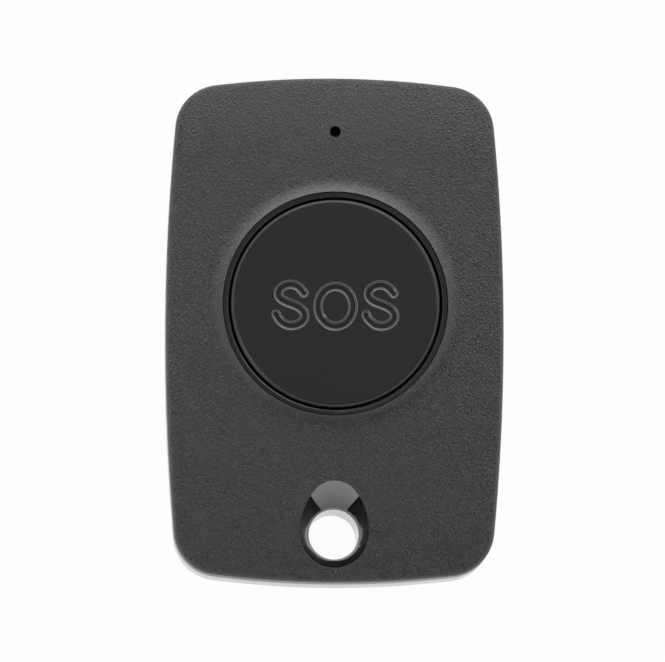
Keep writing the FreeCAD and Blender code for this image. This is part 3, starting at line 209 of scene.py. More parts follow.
def rolled_metal(name, light, dark, roughness, streaks):
    """Rolled sheet metal: fine streaks along the strip and uneven gloss.

    The streaks are given as how many there are to a metre along X, Y and Z."""
    material, tree, place = new_material(name)
    along = add_node(tree, "ShaderNodeMapping", None, {"Vector": place, "Scale": streaks})
    streak = add_node(tree, "ShaderNodeTexNoise", None,
                      {"Vector": along.outputs[0], "Scale": 1.0, "Detail": 4.0, "Roughness": 0.65})
    tone = add_node(tree, "ShaderNodeMix", {"data_type": "RGBA"},
                    {"Factor": streak.outputs["Fac"], "A": linear(dark), "B": linear(light)})
    gloss = add_node(tree, "ShaderNodeMapRange", None, {
        "Value": streak.outputs["Fac"],
        "To Min": roughness - SHEET_SPREAD, "To Max": roughness + SHEET_SPREAD})
    relief = add_node(tree, "ShaderNodeBump", None,
                      {"Strength": 0.3, "Distance": SHEET_MARKS, "Height": streak.outputs["Fac"]})
    show(tree, Base_Color=tone.outputs[2], Metallic=1.0,
         Roughness=gloss.outputs[0], Normal=relief.outputs[0])
    return material


# Nickel-plated steel: bright, slightly warm, with streaks from rolling
nickel_steel = rolled_metal("rolled_nickel_plated_steel", "#c9c5bd", "#b4b0a8",
                            roughness=0.28, streaks=(300.0, 6000.0, 3000.0))
smooth_copy("coin_cell", "housing", nickel_steel)
# Phosphor bronze spring strip: pinkish yellow, half bright
spring_bronze = rolled_metal("rolled_phosphor_bronze", "#c79a62", "#b08550",
                             roughness=0.32, streaks=(5000.0, 400.0, 3000.0))
dress("cell_clip", nickel_steel)
dress("cell_contact", spring_bronze)
# Open-cell foam: dark, fully matt, with visible pores
pad_foam = moulded("black_open_cell_foam", "#2c2c2e", "#161617", roughness=0.95, spread=0.04,
                   grain=3200.0, depth=0.12 * MM, ior=1.4)
dress("cell_pad", pad_foam)


# Circuit board with the larger parts on it: radio chip, crystal, antenna and the indicator's LED.
# Glass-epoxy laminate under a green solder mask, held by four screws; the parts are soldered down.
WHITE, PALE, BLACK = (1.0, 1.0, 1.0, 1.0), (0.8, 0.8, 0.8, 1.0), (0.0, 0.0, 0.0, 1.0)
# Fields of copper under the solder mask: their length and width, and the gap between them
FIELD_LONG, FIELD_WIDE, FIELD_GAP = 3.6 * MM, 1.9 * MM, 0.1 * MM


def solder_mask(name):
    """Solder mask: lighter green over fields of copper, parted by darker lines of bare laminate."""
    material, tree, place = new_material(name)
    copper = add_node(tree, "ShaderNodeTexBrick", {"offset": 0.37, "squash": 0.6, "squash_frequency": 3}, {
        "Vector": place, "Scale": 1.0, "Brick Width": FIELD_LONG, "Row Height": FIELD_WIDE,
        "Mortar Size": FIELD_GAP, "Mortar Smooth": 0.3, "Color1": WHITE, "Color2": PALE, "Mortar": BLACK})
    tone = add_node(tree, "ShaderNodeMix", {"data_type": "RGBA"},
                    {"Factor": copper.outputs["Color"], "A": linear("#0f4a2a"), "B": linear("#17663a")})
    relief = add_node(tree, "ShaderNodeBump", None,
                      {"Strength": 0.5, "Distance": 0.03 * MM, "Height": copper.outputs["Color"]})
    show(tree, Base_Color=tone.outputs[2], Roughness=0.33, Normal=relief.outputs[0], IOR=1.5)
    return material


# Green solder mask: half glossy, with the copper showing through as paler areas
dress("circuit_board", solder_mask("green_solder_mask"))
# Black epoxy moulding compound: dull and faintly grainy
chip_epoxy = moulded("black_epoxy_moulding", "#232427", "#1b1c1e", roughness=0.55, spread=0.06,
                     grain=5000.0, depth=0.008 * MM, ior=1.55)
dress("radio_chip", chip_epoxy)
dress("crystal", nickel_steel)
# Fired ceramic: pale, smooth, with a soft speckle
antenna_ceramic = moulded("white_fired_ceramic", "#e6e2d6", "#d3cfc2", roughness=0.4, spread=0.05,
                          grain=4000.0, depth=0.006 * MM, ior=1.6)
dress("chip_antenna", antenna_ceramic)
# Clear epoxy over a phosphor: milky and glossy
led_epoxy = moulded("milky_led_epoxy", "#ece7c8", "#e0d9ae", roughness=0.18, spread=0.04,
                    grain=3000.0, depth=0.004 * MM, ior=1.51)
dress("status_led", led_epoxy)


# Tactile switch under the button: moulded base and plunger, stamped cover, steel dome and terminals.
# Glass-filled nylon and nickel-plated steel, snapped together and soldered to the board.

# Glass-filled nylon: dull black, a little grainy
switch_nylon = moulded("black_glass_filled_nylon", "#242425", "#1a1a1b", roughness=0.5, spread=0.08,
                       grain=4200.0, depth=0.012 * MM)
dress("switch_base", switch_nylon)
dress("switch_plunger", switch_nylon)
dress("switch_cover", nickel_steel)
# The dome: its box is read, and its smooth copy gets a mesh of its own
low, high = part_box("switch_dome")
dome = smooth_copy("switch_dome", "housing", nickel_steel)
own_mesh(dome)
dress("switch_terminals", nickel_steel)


# Membrane below the button, and the ring that stands on the board and holds its bead to the front cover.
# The membrane is moulded in silicone rubber, thin in its web, and keeps water out; the ring is black nylon.

# Black silicone rubber: dull and slightly bloomed
black_silicone = moulded("black_silicone_rubber", "#1d1d1e", "#151516", roughness=0.6, spread=0.05,
                         grain=1800.0, depth=0.01 * MM, ior=1.43)
# The membrane: its box is read, and its smooth copy gets a mesh of its own
low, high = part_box("button_membrane")
membrane = smooth_copy("button_membrane", "housing", black_silicone)
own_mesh(membrane)
dress("membrane_retainer", switch_nylon)


# Button: a cap that slides in the opening of the front cover, with SOS sunk in its face.
# Moulded in black ABS; the letters are channels with rounded edges, painted pale as a painted highlight
# along them.
BUTTON_AXIS = Vector((0.0, 2.78 * MM, 0.0))
# The middle of the letters lies a little below that of the button
LETTER_LINE = BUTTON_AXIS.y - 0.4 * MM
# Channel of a letter: its width, its depth, the slope of its walls and the rounds above and below them
STROKE = 1.12 * MM
LETTER_DEEP = 0.25 * MM
LETTER_SLOPE = math.radians(60)
LETTER_ROUND = 0.12 * MM
# Where each S stands, the corners of its ends, and the half width and half height of the O
S_PLACES = (-5.34 * MM, 5.41 * MM)
S_CORNER = 0.5 * MM
O_WIDE, O_HIGH = 2.66 * MM, 2.95 * MM
CURVE_STEPS = 16
ROUND_STEPS = 4
OVAL_STEPS = 72
# What delaunay_2d_cdt calls a fill that keeps to the inside of the loops
INSIDE = 1
# Spine of the S in mm: place, heading in degrees, handle before and after
S_SPINE = (
    (1.58, 1.54, 124, 0.0, 0.51),
    (0.0, 2.61, 180, 0.79, 0.82),
    (-1.49, 1.51, 270, 0.60, 0.70),
    (0.05, 0.27, -19, 0.79, 0.79),
    (1.65, -1.12, 270, 0.70, 0.70),
    (0.0, -2.36, 180, 0.91, 0.88),
    (-1.77, -0.94, 107, 0.60, 0.0),
)


def s_spine():
    """Points along the middle of the letter S with the heading at each."""
    points = []
    for here, there in zip(S_SPINE, S_SPINE[1:]):
        start, end = Vector(here[:2]), Vector(there[:2])
        leave = Vector((math.cos(math.radians(here[2])), math.sin(math.radians(here[2]))))
        meet = Vector((math.cos(math.radians(there[2])), math.sin(math.radians(there[2]))))
        run = interpolate_bezier(start, start + leave * here[4], end - meet * there[3], end, CURVE_STEPS + 1)
        points += run[(1 if points else 0):]
    points = [p.to_2d() * MM for p in points]
    headings = []
    for i, point in enumerate(points):
        before, after = points[max(i - 1, 0)], points[min(i + 1, len(points) - 1)]
        headings.append((after - before).normalized())
    return points, headings


def s_outline(middle, grow):
    """Outline of the S, grown by a distance, with rounded corners at its two ends."""
    points, headings = s_spine()
    half, corner = STROKE / 2 + grow, S_CORNER + grow
    right = [p + Vector((h.y, -h.x)) * half for p, h in zip(points, headings)]
    left = [p + Vector((-h.y, h.x)) * half for p, h in zip(points, headings)]

    def end_cap(point, ahead):
        side = Vector((ahead.y, -ahead.x))
        middle_of = [point + side * (half - corner) * s for s in (1, -1)]
        cap = []
        for centre, first in zip(middle_of, (0, 90)):
            for k in range(ROUND_STEPS + 1):
                turn = math.radians(first + 90 * k / ROUND_STEPS)
                cap.append(centre + side * math.cos(turn) * corner + ahead * math.sin(turn) * corner)
        return cap[1:-1]

    outline = right + end_cap(points[-1], headings[-1]) + left[::-1] + end_cap(points[0], -headings[0])
    return [Vector((middle[0] + p.x, middle[1] + p.y)) for p in outline]


def ellipse(middle, wide, high, grow, steps=OVAL_STEPS):
    """Closed oval, grown by a distance."""
    turns = [2 * math.pi * k / steps for k in range(steps)]
    return [Vector((middle[0] + (wide + grow) * math.cos(t), middle[1] + (high + grow) * math.sin(t)))
            for t in turns]


def wall_rings(draw):
    """Rings of a channel's wall, from the face down: top round, sloping wall, foot round."""
    turns = [LETTER_SLOPE * k / ROUND_STEPS for k in range(ROUND_STEPS + 1)]
    slope_high = LETTER_DEEP - 2 * LETTER_ROUND * (1 - math.cos(LETTER_SLOPE))
    run = 2 * LETTER_ROUND * math.sin(LETTER_SLOPE) + slope_high / math.tan(LETTER_SLOPE)
    top = [(draw(-LETTER_ROUND * math.sin(t)), -LETTER_ROUND * (1 - math.cos(t))) for t in turns]
    foot = [(draw(-run + LETTER_ROUND * math.sin(t)), -LETTER_DEEP + LETTER_ROUND * (1 - math.cos(t)))
            for t in reversed(turns)]
    return top + foot


def add_channel(skin, rings, face, turned):
    """Adds a channel's wall to the mesh and returns its first and last ring of vertices.

    The straight slope keeps the first material, and the rounds above and below get the second."""
    rows = [[skin.verts.new((p.x, p.y, face + down)) for p in ring] for ring, down in rings]
    for row, (upper, lower) in enumerate(zip(rows, rows[1:])):
        for k in range(len(upper)):
            n = (k + 1) % len(upper)
            quad = (upper[k], lower[k], lower[n], upper[n])
            made = skin.faces.new(quad[::-1] if turned else quad)
            made.material_index = int(row != ROUND_STEPS)
    return rows[0], rows[-1]


def covered(x, y, loops):
    """Whether a place lies inside an odd number of loops."""
    inside = False
    for loop in loops:
        for a, b in zip(loop, loop[1:] + loop[:1]):
            if (a.co.y > y) != (b.co.y > y):
                inside ^= x < a.co.x + (y - a.co.y) / (b.co.y - a.co.y) * (b.co.x - a.co.x)
    return inside


def fill(skin, *loops):
    """Fills the flat area within the first loop and outside the others, facing up."""
    corners = [v for loop in loops for v in loop]
    sides, first = [], 0
    for loop in loops:
        sides += [(first + k, first + (k + 1) % len(loop)) for k in range(len(loop))]
        first += len(loop)
    found = delaunay_2d_cdt([(v.co / MM).to_2d() for v in corners], sides, [], INSIDE, 1e-6)
    for face in found[2]:
        a, b, c = (corners[found[3][i][0]] for i in face)
        middle = (a.co + b.co + c.co) / 3
        if not covered(middle.x, middle.y, loops):
            continue
        up = (b.co - a.co).cross(c.co - a.co).z
        skin.faces.new((a, b, c) if up > 0 else (a, c, b))


def lettered_button():
    """The button's merged skin with its flat face made again round the letters."""
    skin = merged("sos_button")
    face = max(v.co.z for v in skin.verts)
    flat = [f for f in skin.faces if all(abs(v.co.z - face) < SAME_POINT for v in f.verts)]
    bmesh.ops.delete(skin, geom=flat, context="FACES")
    edges = {v: [] for v in skin.verts}
    for edge in skin.edges:
        if edge.is_boundary:
            for v in edge.verts:
                edges[v].append(edge)
    start = next(v for v in skin.verts if edges[v])
    rim, step = [start], edges[start][0]
    while True:
        ahead = step.other_vert(rim[-1])
        if ahead is start:
            break
        rim.append(ahead)
        step = next(e for e in edges[ahead] if e is not step)
    tops, feet = [], []
    for x in S_PLACES:
        top, foot = add_channel(skin, wall_rings(lambda g, x=x: s_outline((x, LETTER_LINE), g)), face, False)
        tops.append(top)
        feet.append(foot)
    o_middle = (0.0, LETTER_LINE)
    outer_rings = wall_rings(lambda g: ellipse(o_middle, O_WIDE, O_HIGH, g))
    inner_rings = wall_rings(lambda g: ellipse(o_middle, O_WIDE - STROKE, O_HIGH - STROKE, -g))
    outer_top, outer_foot = add_channel(skin, outer_rings, face, False)
    inner_top, inner_foot = add_channel(skin, inner_rings, face, True)
    fill(skin, rim, *tops, outer_top)
    fill(skin, inner_top)
    fill(skin, outer_foot, inner_foot)
    for foot in feet:
        fill(skin, foot)
    mesh = bpy.data.meshes.new("sos_button_skin")
    skin.to_mesh(mesh)
    skin.free()
    return mesh


# Moulded black ABS, drawn satin: an even dark face with soft, thin highlights on its edges
satin_black_abs = moulded("satin_black_abs", "#312e2e", "#2f2c2c", roughness=0.34, spread=0.03,
                          grain=5200.0, depth=0.002 * MM)
button_mesh = lettered_button()
button_mesh.materials.append(satin_black_abs)
# Black ABS of the letters' rounded edges: painted pale as a painted highlight along them, glossy, with the
# IOR raised for that shine
scuffed_black_abs = moulded("scuffed_black_abs", "#7b7979", "#676565", roughness=0.22, spread=0.04,
                            grain=5200.0, depth=0.002 * MM, ior=1.9)
button_mesh.materials.append(scuffed_black_abs)
button = bpy.data.objects.new("sos_button_skin", button_mesh)
bpy.context.scene.collection.objects.link(button)
even_normals(button)
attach(button, "button")
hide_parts("sos_button")


# Light pipe behind the small hole, which carries the light of the indicator to the front.
# Moulded in smoked polycarbonate and held by its flange, it looks black until it is lit.

# Smoked polycarbonate: a deep, even black with a clear gloss
smoked_polycarbonate = moulded("smoked_polycarbonate", "#040404", "#020202", roughness=0.15, spread=0.03,
                               grain=3000.0, depth=0.002 * MM, ior=1.58)
smooth_copy("light_pipe", "housing", smoked_polycarbonate)


# Front cover: the black half of the case, crowned, with a raised collar round the button.
# ABS from a spark-eroded mould; the ledge in the collar and the lanyard scoop are left smooth.

# Egg of the scoop's rim: middle and radii of its arcs, and how far apart the two end arcs lie
SCOOP = Vector((0.0, -25.0 * MM))
SCOOP_BIG, SCOOP_SMALL, SCOOP_SIDE, SCOOP_REACH = 4.02 * MM, 3.0 * MM, 7.9 * MM, 3.94 * MM
SCOOP_ROUND = 0.2 * MM
# A face of the scoop leans more than this from level
SCOOP_STEEP = math.cos(math.radians(25))
# About the button's axis: the sharp edge of the collar, and the lip of the opening with its lowest level
SMOOTH_RADIUS = 13.498 * MM
LIP_RADIUS, LIP_FOOT = 12.96 * MM, 12.1 * MM


def within_scoop(x, y, grow):
    """Whether a place is inside the egg of the scoop's rim, grown by a distance."""
    near, far = SCOOP_SIDE - SCOOP_BIG, SCOOP_SIDE - SCOOP_SMALL
    up = (near ** 2 - far ** 2 + SCOOP_REACH ** 2) / (2 * SCOOP_REACH)
    across = math.sqrt(near ** 2 - up ** 2)
    x, y = abs(x - SCOOP.x), y - SCOOP.y
    low = up - up / near * SCOOP_SIDE
    high = up + (SCOOP_REACH - up) / far * SCOOP_SIDE
    if y < low:
        return math.hypot(x, y) < SCOOP_BIG + grow
    if y > high:
        return math.hypot(x, y - SCOOP_REACH) < SCOOP_SMALL + grow
    return math.hypot(x + across, y - up) < SCOOP_SIDE + grow


# Ridges to a metre and their depth: 0.3 mm apart, a little coarser than the real ones, so that they show
RIDGES = 3000.0
RIDGE_DEEP = 0.08 * MM
# A ridge is this much narrower than it is long
RIDGE_WIDE = 0.6
# Patches with ridges of one direction to each ridge
PATCH_SHARE = 0.8
# On the collar the grain fades from half its depth to the whole
COLLAR_EDGE, COLLAR_FOOT = 13.8 * MM, 14.9 * MM
FADED = 0.5


def spark_eroded(name, light, dark):
    """ABS from a spark-eroded mould: short ridges that lie along both diagonals, shallower on the collar."""
    material, tree, place = new_material(name)
    ridges = []
    for turn in (45, -45):
        along = add_node(tree, "ShaderNodeMapping", {"vector_type": "TEXTURE"}, {
            "Vector": place, "Rotation": (0.0, 0.0, math.radians(turn)), "Scale": (1.0, RIDGE_WIDE, 1.0)})
        ridges.append(add_node(tree, "ShaderNodeTexNoise", None, {
            "Vector": along.outputs[0], "Scale": RIDGES, "Detail": 2.0, "Roughness": 0.6}))
    patch = add_node(tree, "ShaderNodeTexNoise", None,
                     {"Vector": place, "Scale": RIDGES * PATCH_SHARE, "Detail": 0.0})
    choice = add_node(tree, "ShaderNodeMapRange", None,
                      {"Value": patch.outputs["Fac"], "From Min": 0.44, "From Max": 0.56})
    ridge = add_node(tree, "ShaderNodeMix", None, {
        "Factor": choice.outputs[0], "A": ridges[0].outputs["Fac"], "B": ridges[1].outputs["Fac"]})
    height = add_node(tree, "ShaderNodeMapRange", None,
                      {"Value": ridge.outputs[0], "From Min": 0.3, "From Max": 0.66})
    from_axis = add_node(tree, "ShaderNodeMapping", None, {
        "Vector": place, "Location": -BUTTON_AXIS, "Scale": (1.0, 1.0, 0.0)})
    radius = add_node(tree, "ShaderNodeVectorMath", {"operation": "LENGTH"}, {0: from_axis.outputs[0]})
    depth = add_node(tree, "ShaderNodeMapRange", None, {
        "Value": radius.outputs["Value"], "From Min": COLLAR_EDGE, "From Max": COLLAR_FOOT,
        "To Min": FADED, "To Max": 1.0})
    relief = add_node(tree, "ShaderNodeBump", None,
                      {"Strength": depth.outputs[0], "Distance": RIDGE_DEEP, "Height": height.outputs[0]})
    tone = add_node(tree, "ShaderNodeMix", {"data_type": "RGBA"},
                    {"Factor": height.outputs[0], "A": linear(dark), "B": linear(light)})
    rough = add_node(tree, "ShaderNodeMapRange", None,
                     {"Value": height.outputs[0], "To Min": 0.18, "To Max": 0.42})
    gloss = add_node(tree, "ShaderNodeMapRange", None, {
        "Value": depth.outputs[0], "From Min": FADED, "From Max": 1.0,
        "To Min": 0.28, "To Max": rough.outputs[0]})
    show(tree, Base_Color=tone.outputs[2], Roughness=gloss.outputs[0], Normal=relief.outputs[0], IOR=1.75)
    return material


# Spark-eroded black ABS: matt charcoal that glitters a little on its ridges, with the IOR raised for that
eroded_black_abs = spark_eroded("spark_eroded_black_abs", light="#221a1a", dark="#060000")


# The wedge of painted reflection, matt and pale grey, lies above two lines that rise from its foot on the
# middle, at this slope
WEDGE_SLOPE = 1.07
WEDGE_FOOT = -23.3 * MM
WEDGE_BLUR = 0.03 * MM


def black_abs_with_painted_reflection(name, reflection_greys, deep):
    """ABS with a polished wall and, towards the button, a matt wedge painted pale grey as a painted
    reflection.
    """
    material, tree, place = new_material(name)
    parts = add_node(tree, "ShaderNodeSeparateXYZ", None, {"Vector": place}).outputs
    beside = add_node(tree, "ShaderNodeMath", {"operation": "ABSOLUTE"}, {0: parts["X"]})
    edge = add_node(tree, "ShaderNodeMath", {"operation": "MULTIPLY_ADD"}, {
        0: beside.outputs[0], 1: -WEDGE_SLOPE, 2: parts["Y"]})
    wedge = add_node(tree, "ShaderNodeMapRange", None, {
        "Value": edge.outputs[0], "From Min": WEDGE_FOOT - WEDGE_BLUR, "From Max": WEDGE_FOOT + WEDGE_BLUR})
    reflection_mottle = add_node(tree, "ShaderNodeTexNoise", None, {"Vector": place, "Scale": RIDGES, "Detail": 1.0})
    reflection_grey = add_node(tree, "ShaderNodeMix", {"data_type": "RGBA"}, {
        "Factor": reflection_mottle.outputs["Fac"], "A": linear(reflection_greys[0]), "B": linear(reflection_greys[1])})
    # Painted reflection: pale grey within the wedge, polished black outside it
    tone = add_node(tree, "ShaderNodeMix", {"data_type": "RGBA"}, {
        "Factor": wedge.outputs[0], "A": linear(deep), "B": reflection_grey.outputs[2]})
    gloss = add_node(tree, "ShaderNodeMapRange", None,
                     {"Value": wedge.outputs[0], "To Min": 0.16, "To Max": 0.55})
    show(tree, Base_Color=tone.outputs[2], Roughness=gloss.outputs[0], IOR=1.45)
    return material


# Black ABS of the scoop: a mirror-like black at the sides, and below the button a matt wedge painted grey, a
# painted reflection
scoop_black_abs = black_abs_with_painted_reflection("half_polished_black_abs", reflection_greys=("#8f8c8d", "#9b9899"), deep="#070606")
# Black ABS of the lip round the button: painted paler than the face as a painted highlight for the thin line
# of light it catches, with the highest IOR
burnished_black_abs = moulded("burnished_black_abs", "#4b4848", "#433f3f", roughness=0.15, spread=0.03,
                              grain=5200.0, depth=0.002 * MM, ior=2.0)
front = smooth_copy("front_cover", "housing",
                    eroded_black_abs, scoop_black_abs, satin_black_abs, burnished_black_abs)
for polygon in front.data.polygons:
    corners = [front.data.vertices[i].co for i in polygon.vertices]
    steep = polygon.normal.z < SCOOP_STEEP
    if steep and all(within_scoop(c.x, c.y, SCOOP_ROUND) for c in corners):
        polygon.material_index = 1
    elif all(math.hypot(c.x, c.y - BUTTON_AXIS.y) < SMOOTH_RADIUS for c in corners):
        lip = all(math.hypot(c.x, c.y - BUTTON_AXIS.y) < LIP_RADIUS and c.z > LIP_FOOT for c in corners)
        polygon.material_index = 3 if lip else 2


# Chips on the board: six capacitors and six resistors, each a ceramic brick with tinned ends.
# A machine sets them down in even rows, so one node tree lays out each kind.
def layout_tree(name, *more):
    """A node tree for laying out copies on a grid, with its named inputs; returns it and their sockets."""
    tree = bpy.data.node_groups.new(name, "GeometryNodeTree")
    for title, kind in (("Geometry", "Geometry"), ("Columns", "Int"), ("Rows", "Int"), ("Step", "Vector"),
                        ("Middle", "Vector"), ("Turn", "Float"), ("Seed", "Int"), ("Finish", "Material"),
                        ("Ends", "Material")) + more:
        tree.interface.new_socket(name=title, in_out="INPUT", socket_type="NodeSocket" + kind)
    tree.interface.new_socket(name="Geometry", in_out="OUTPUT", socket_type="NodeSocketGeometry")
    return tree, add_node(tree, "NodeGroupInput").outputs


def lay_out(tree, given, shape):
    """Nodes that copy a shape to every place, turn each by chance and give the copies their materials."""
    step = add_node(tree, "ShaderNodeSeparateXYZ", None, {"Vector": given["Step"]}).outputs
    sides = []
    for axis, count in (("X", "Columns"), ("Y", "Rows")):
        gaps = add_node(tree, "ShaderNodeMath", {"operation": "SUBTRACT"}, {0: given[count], 1: 1.0})
        sides.append(add_node(tree, "ShaderNodeMath", {"operation": "MULTIPLY"},
                              {0: gaps.outputs[0], 1: step[axis]}))
    grid = add_node(tree, "GeometryNodeMeshGrid", None, {
        "Size X": sides[0].outputs[0], "Size Y": sides[1].outputs[0],
        "Vertices X": given["Columns"], "Vertices Y": given["Rows"]})
    places = add_node(tree, "GeometryNodeTransform", None, {
        "Geometry": grid.outputs["Mesh"], "Translation": given["Middle"]})
    most = add_node(tree, "ShaderNodeCombineXYZ", None, {"Z": given["Turn"]})
    turn = add_node(tree, "FunctionNodeRandomValue", {"data_type": "FLOAT_VECTOR"}, {
        "Min": (0.0, 0.0, 0.0), "Max": most.outputs[0], "Seed": given["Seed"]})
    copies = add_node(tree, "GeometryNodeInstanceOnPoints", None, {
        "Points": places.outputs[0], "Instance": shape, "Rotation": turn.outputs[0]})
    solid = add_node(tree, "GeometryNodeRealizeInstances", None, {"Geometry": copies.outputs[0]})
    capped = add_node(tree, "GeometryNodeInputNamedAttribute", {"data_type": "BOOLEAN"}, {"Name": "end"})
    whole = add_node(tree, "GeometryNodeSetMaterial", None, {
        "Geometry": solid.outputs[0], "Material": given["Finish"]})
    tipped = add_node(tree, "GeometryNodeSetMaterial", None, {
        "Geometry": whole.outputs[0], "Selection": capped.outputs["Attribute"], "Material": given["Ends"]})
    add_node(tree, "NodeGroupOutput", None, {"Geometry": tipped.outputs[0]})


def set_out(node, skin, tree, reach, columns, rows, **sizes):
    """Runs a layout tree on one part, spread to fill a CAD node's box, and puts the copies in its place."""
    low, high = (Vector(corner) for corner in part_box(node))
    step = [(high[i] - low[i] - reach[i]) / (count - 1) for i, count in enumerate((columns, rows))]
    sizes.update(Columns=columns, Rows=rows, Step=(step[0], step[1], 0.0),
                 Middle=((low.x + high.x) / 2, (low.y + high.y) / 2, low.z))
    mesh = bpy.data.meshes.new(node + "_skin")
    skin.to_mesh(mesh)
    skin.free()
    piece = bpy.data.objects.new(node + "_skin", mesh)
    bpy.context.scene.collection.objects.link(piece)
    work = piece.modifiers.new(tree.name, "NODES")
    work.node_group = tree
    for socket in tree.interface.items_tree:
        if socket.in_out == "INPUT" and socket.name.replace(" ", "_") in sizes:
            work[socket.identifier] = sizes[socket.name.replace(" ", "_")]
    settle(piece)
    # The tree leaves an empty slot before its materials
    piece.data.materials.pop(index=0)
    even_normals(piece)
    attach(piece, "housing")
    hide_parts(node)


CHIP_LONG, CHIP_WIDE = 1.6 * MM, 0.8 * MM
CHIP_ROUND = 0.05 * MM
# How much lower and narrower the ceramic is than its metal ends
CHIP_WAIST = 0.03 * MM
# Most that the machine turns a chip by chance, in radians
CHIP_TURN = 0.02


def chip(high, band):
    """A brick with rounded edges and a slightly larger metal cap at each end, resting on z 0."""
    skin = bmesh.new()
    for middle, long, less in ((0.0, CHIP_LONG - band, CHIP_WAIST),
                               ((band - CHIP_LONG) / 2, band, 0.0), ((CHIP_LONG - band) / 2, band, 0.0)):
        made = bmesh.ops.create_cube(skin, size=1.0)["verts"]
        for v in made:
            x, y, z = v.co
            v.co = Vector((middle + x * long, y * (CHIP_WIDE - less), (z + 0.5) * (high - less)))
        bmesh.ops.bevel(skin, geom=list({e for v in made for e in v.link_edges}), offset=CHIP_ROUND,
                        segments=3, profile=0.5, affect="EDGES")
    capped = skin.faces.layers.bool.new("end")
    for face in skin.faces:
        face[capped] = abs(face.calc_center_median().x) > CHIP_LONG / 2 - band * 1.05
    return skin


chips, given = layout_tree("chip_layout")
lay_out(chips, given, given["Geometry"])
# Tan fired ceramic: even, half matt, with a soft speckle
capacitor_ceramic = moulded("tan_fired_ceramic", "#a58a66", "#917753", roughness=0.42, spread=0.05,
                            grain=4000.0, depth=0.006 * MM, ior=1.6)
# Black glass glaze over a resistive film: dark and shiny
resistor_glaze = moulded("black_glass_glaze", "#1c1d20", "#121315", roughness=0.25, spread=0.04,
                         grain=4000.0, depth=0.004 * MM, ior=1.52)
# Reflowed tin solder on the ends: bright and faintly lumpy
tin_solder = rolled_metal("reflowed_tin_solder", "#c9cacc", "#b2b3b6",
                          roughness=0.26, streaks=(1500.0, 1500.0, 1500.0))
for node, finish, band, columns, rows, seed in (("capacitors", capacitor_ceramic, 0.35 * MM, 2, 3, 3),
                                                ("resistors", resistor_glaze, 0.3 * MM, 3, 2, 5)):
    low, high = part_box(node)
    set_out(node, chip(high[2] - low[2], band), chips, (CHIP_LONG, CHIP_WIDE), columns, rows,
            Turn=CHIP_TURN, Seed=seed, Finish=finish, Ends=tin_solder)


# Screws: four hold the board and four hold the halves together from the back.
# Steel with a pressed pan head, a cross recess and a rolled thread that a node tree winds round the core.

# How far the thread stands out from the core
THREAD_HIGH = 0.14 * MM
SCREW_STEPS = 48
# Rounded edge of a pan head: how far in from the side, and how far down
HEAD_EDGE = ((0.3 * MM, 0.0), (0.12 * MM, -0.06 * MM), (0.03 * MM, -0.17 * MM), (0.0, -0.32 * MM))
POINT_LONG = 0.4 * MM
POINT_SHARE = 0.45
# Cross recess: half the width of an arm, its reach as a share of the head, its depth and how it narrows
CROSS_WIDE = 0.27 * MM
CROSS_SHARE = 0.62
CROSS_DEEP = 0.6 * MM
CROSS_TAPER = 0.8
# From under the head to the first turn of the thread
THREAD_BELOW = 0.3 * MM
# Most that a screw is turned by chance, in radians
SCREW_TURN = 1.5


def screw(node, head, head_high, core):
    """A screw's head and core, standing on its head, as high as its CAD box."""
    low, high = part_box(node)
    length = high[2] - low[2]
    wide, long = CROSS_WIDE, head * CROSS_SHARE
    side = [(head - inward, down) for inward, down in HEAD_EDGE]
    side += [(head, -head_high), (core, -head_high),
             (core, POINT_LONG - length), (core * POINT_SHARE, -length)]
    cross = [(long, -wide), (long, wide), (wide, wide), (wide, long), (-wide, long), (-wide, wide),
             (-long, wide), (-long, -wide), (-wide, -wide), (-wide, -long), (wide, -long), (wide, -wide)]
    skin = bmesh.new()
    around = [(ellipse((0.0, 0.0), r, r, 0.0, SCREW_STEPS), z) for r, z in side]
    first, last = add_channel(skin, around, 0.0, True)
    recess = [([Vector(p) * share for p in cross], z)
              for share, z in ((1.0, 0.0), (CROSS_TAPER, -CROSS_DEEP))]
    mouth, bottom = add_channel(skin, recess, 0.0, False)
    fill(skin, first, mouth)
    fill(skin, bottom)
    skin.faces.new(last[::-1])
    for v in skin.verts:
        v.co = Vector((v.co.x, -v.co.y, -v.co.z))
    bmesh.ops.recalc_face_normals(skin, faces=skin.faces)
    return skin


screws, given = layout_tree(
    "screw_layout", ("Core", "Float"), ("Pitch", "Float"), ("Turns", "Float"), ("Start", "Float"))
# The thread: a spiral of square section that starts below the head, joined to the head and core
rise = add_node(screws, "ShaderNodeMath", {"operation": "MULTIPLY"}, {0: given["Pitch"], 1: given["Turns"]})
helix = add_node(screws, "GeometryNodeCurveSpiral", None, {
    "Resolution": 24, "Rotations": given["Turns"], "Height": rise.outputs[0],
    "Start Radius": given["Core"], "End Radius": given["Core"]})
upright = add_node(screws, "GeometryNodeSetCurveNormal", {"mode": "Z_UP"}, {"Curve": helix.outputs[0]})
section = add_node(screws, "GeometryNodeCurvePrimitiveCircle", None,
                   {"Resolution": 4, "Radius": THREAD_HIGH})
wound = add_node(screws, "GeometryNodeCurveToMesh", None, {
    "Curve": upright.outputs[0], "Profile Curve": section.outputs[0], "Fill Caps": True})
start = add_node(screws, "ShaderNodeCombineXYZ", None, {"Z": given["Start"]})
placed = add_node(screws, "GeometryNodeTransform", None, {
    "Geometry": wound.outputs[0], "Translation": start.outputs[0]})
joined = add_node(screws, "GeometryNodeJoinGeometry", None, {"Geometry": given["Geometry"]})
screws.links.new(placed.outputs[0], joined.inputs["Geometry"])
lay_out(screws, given, joined.outputs[0])
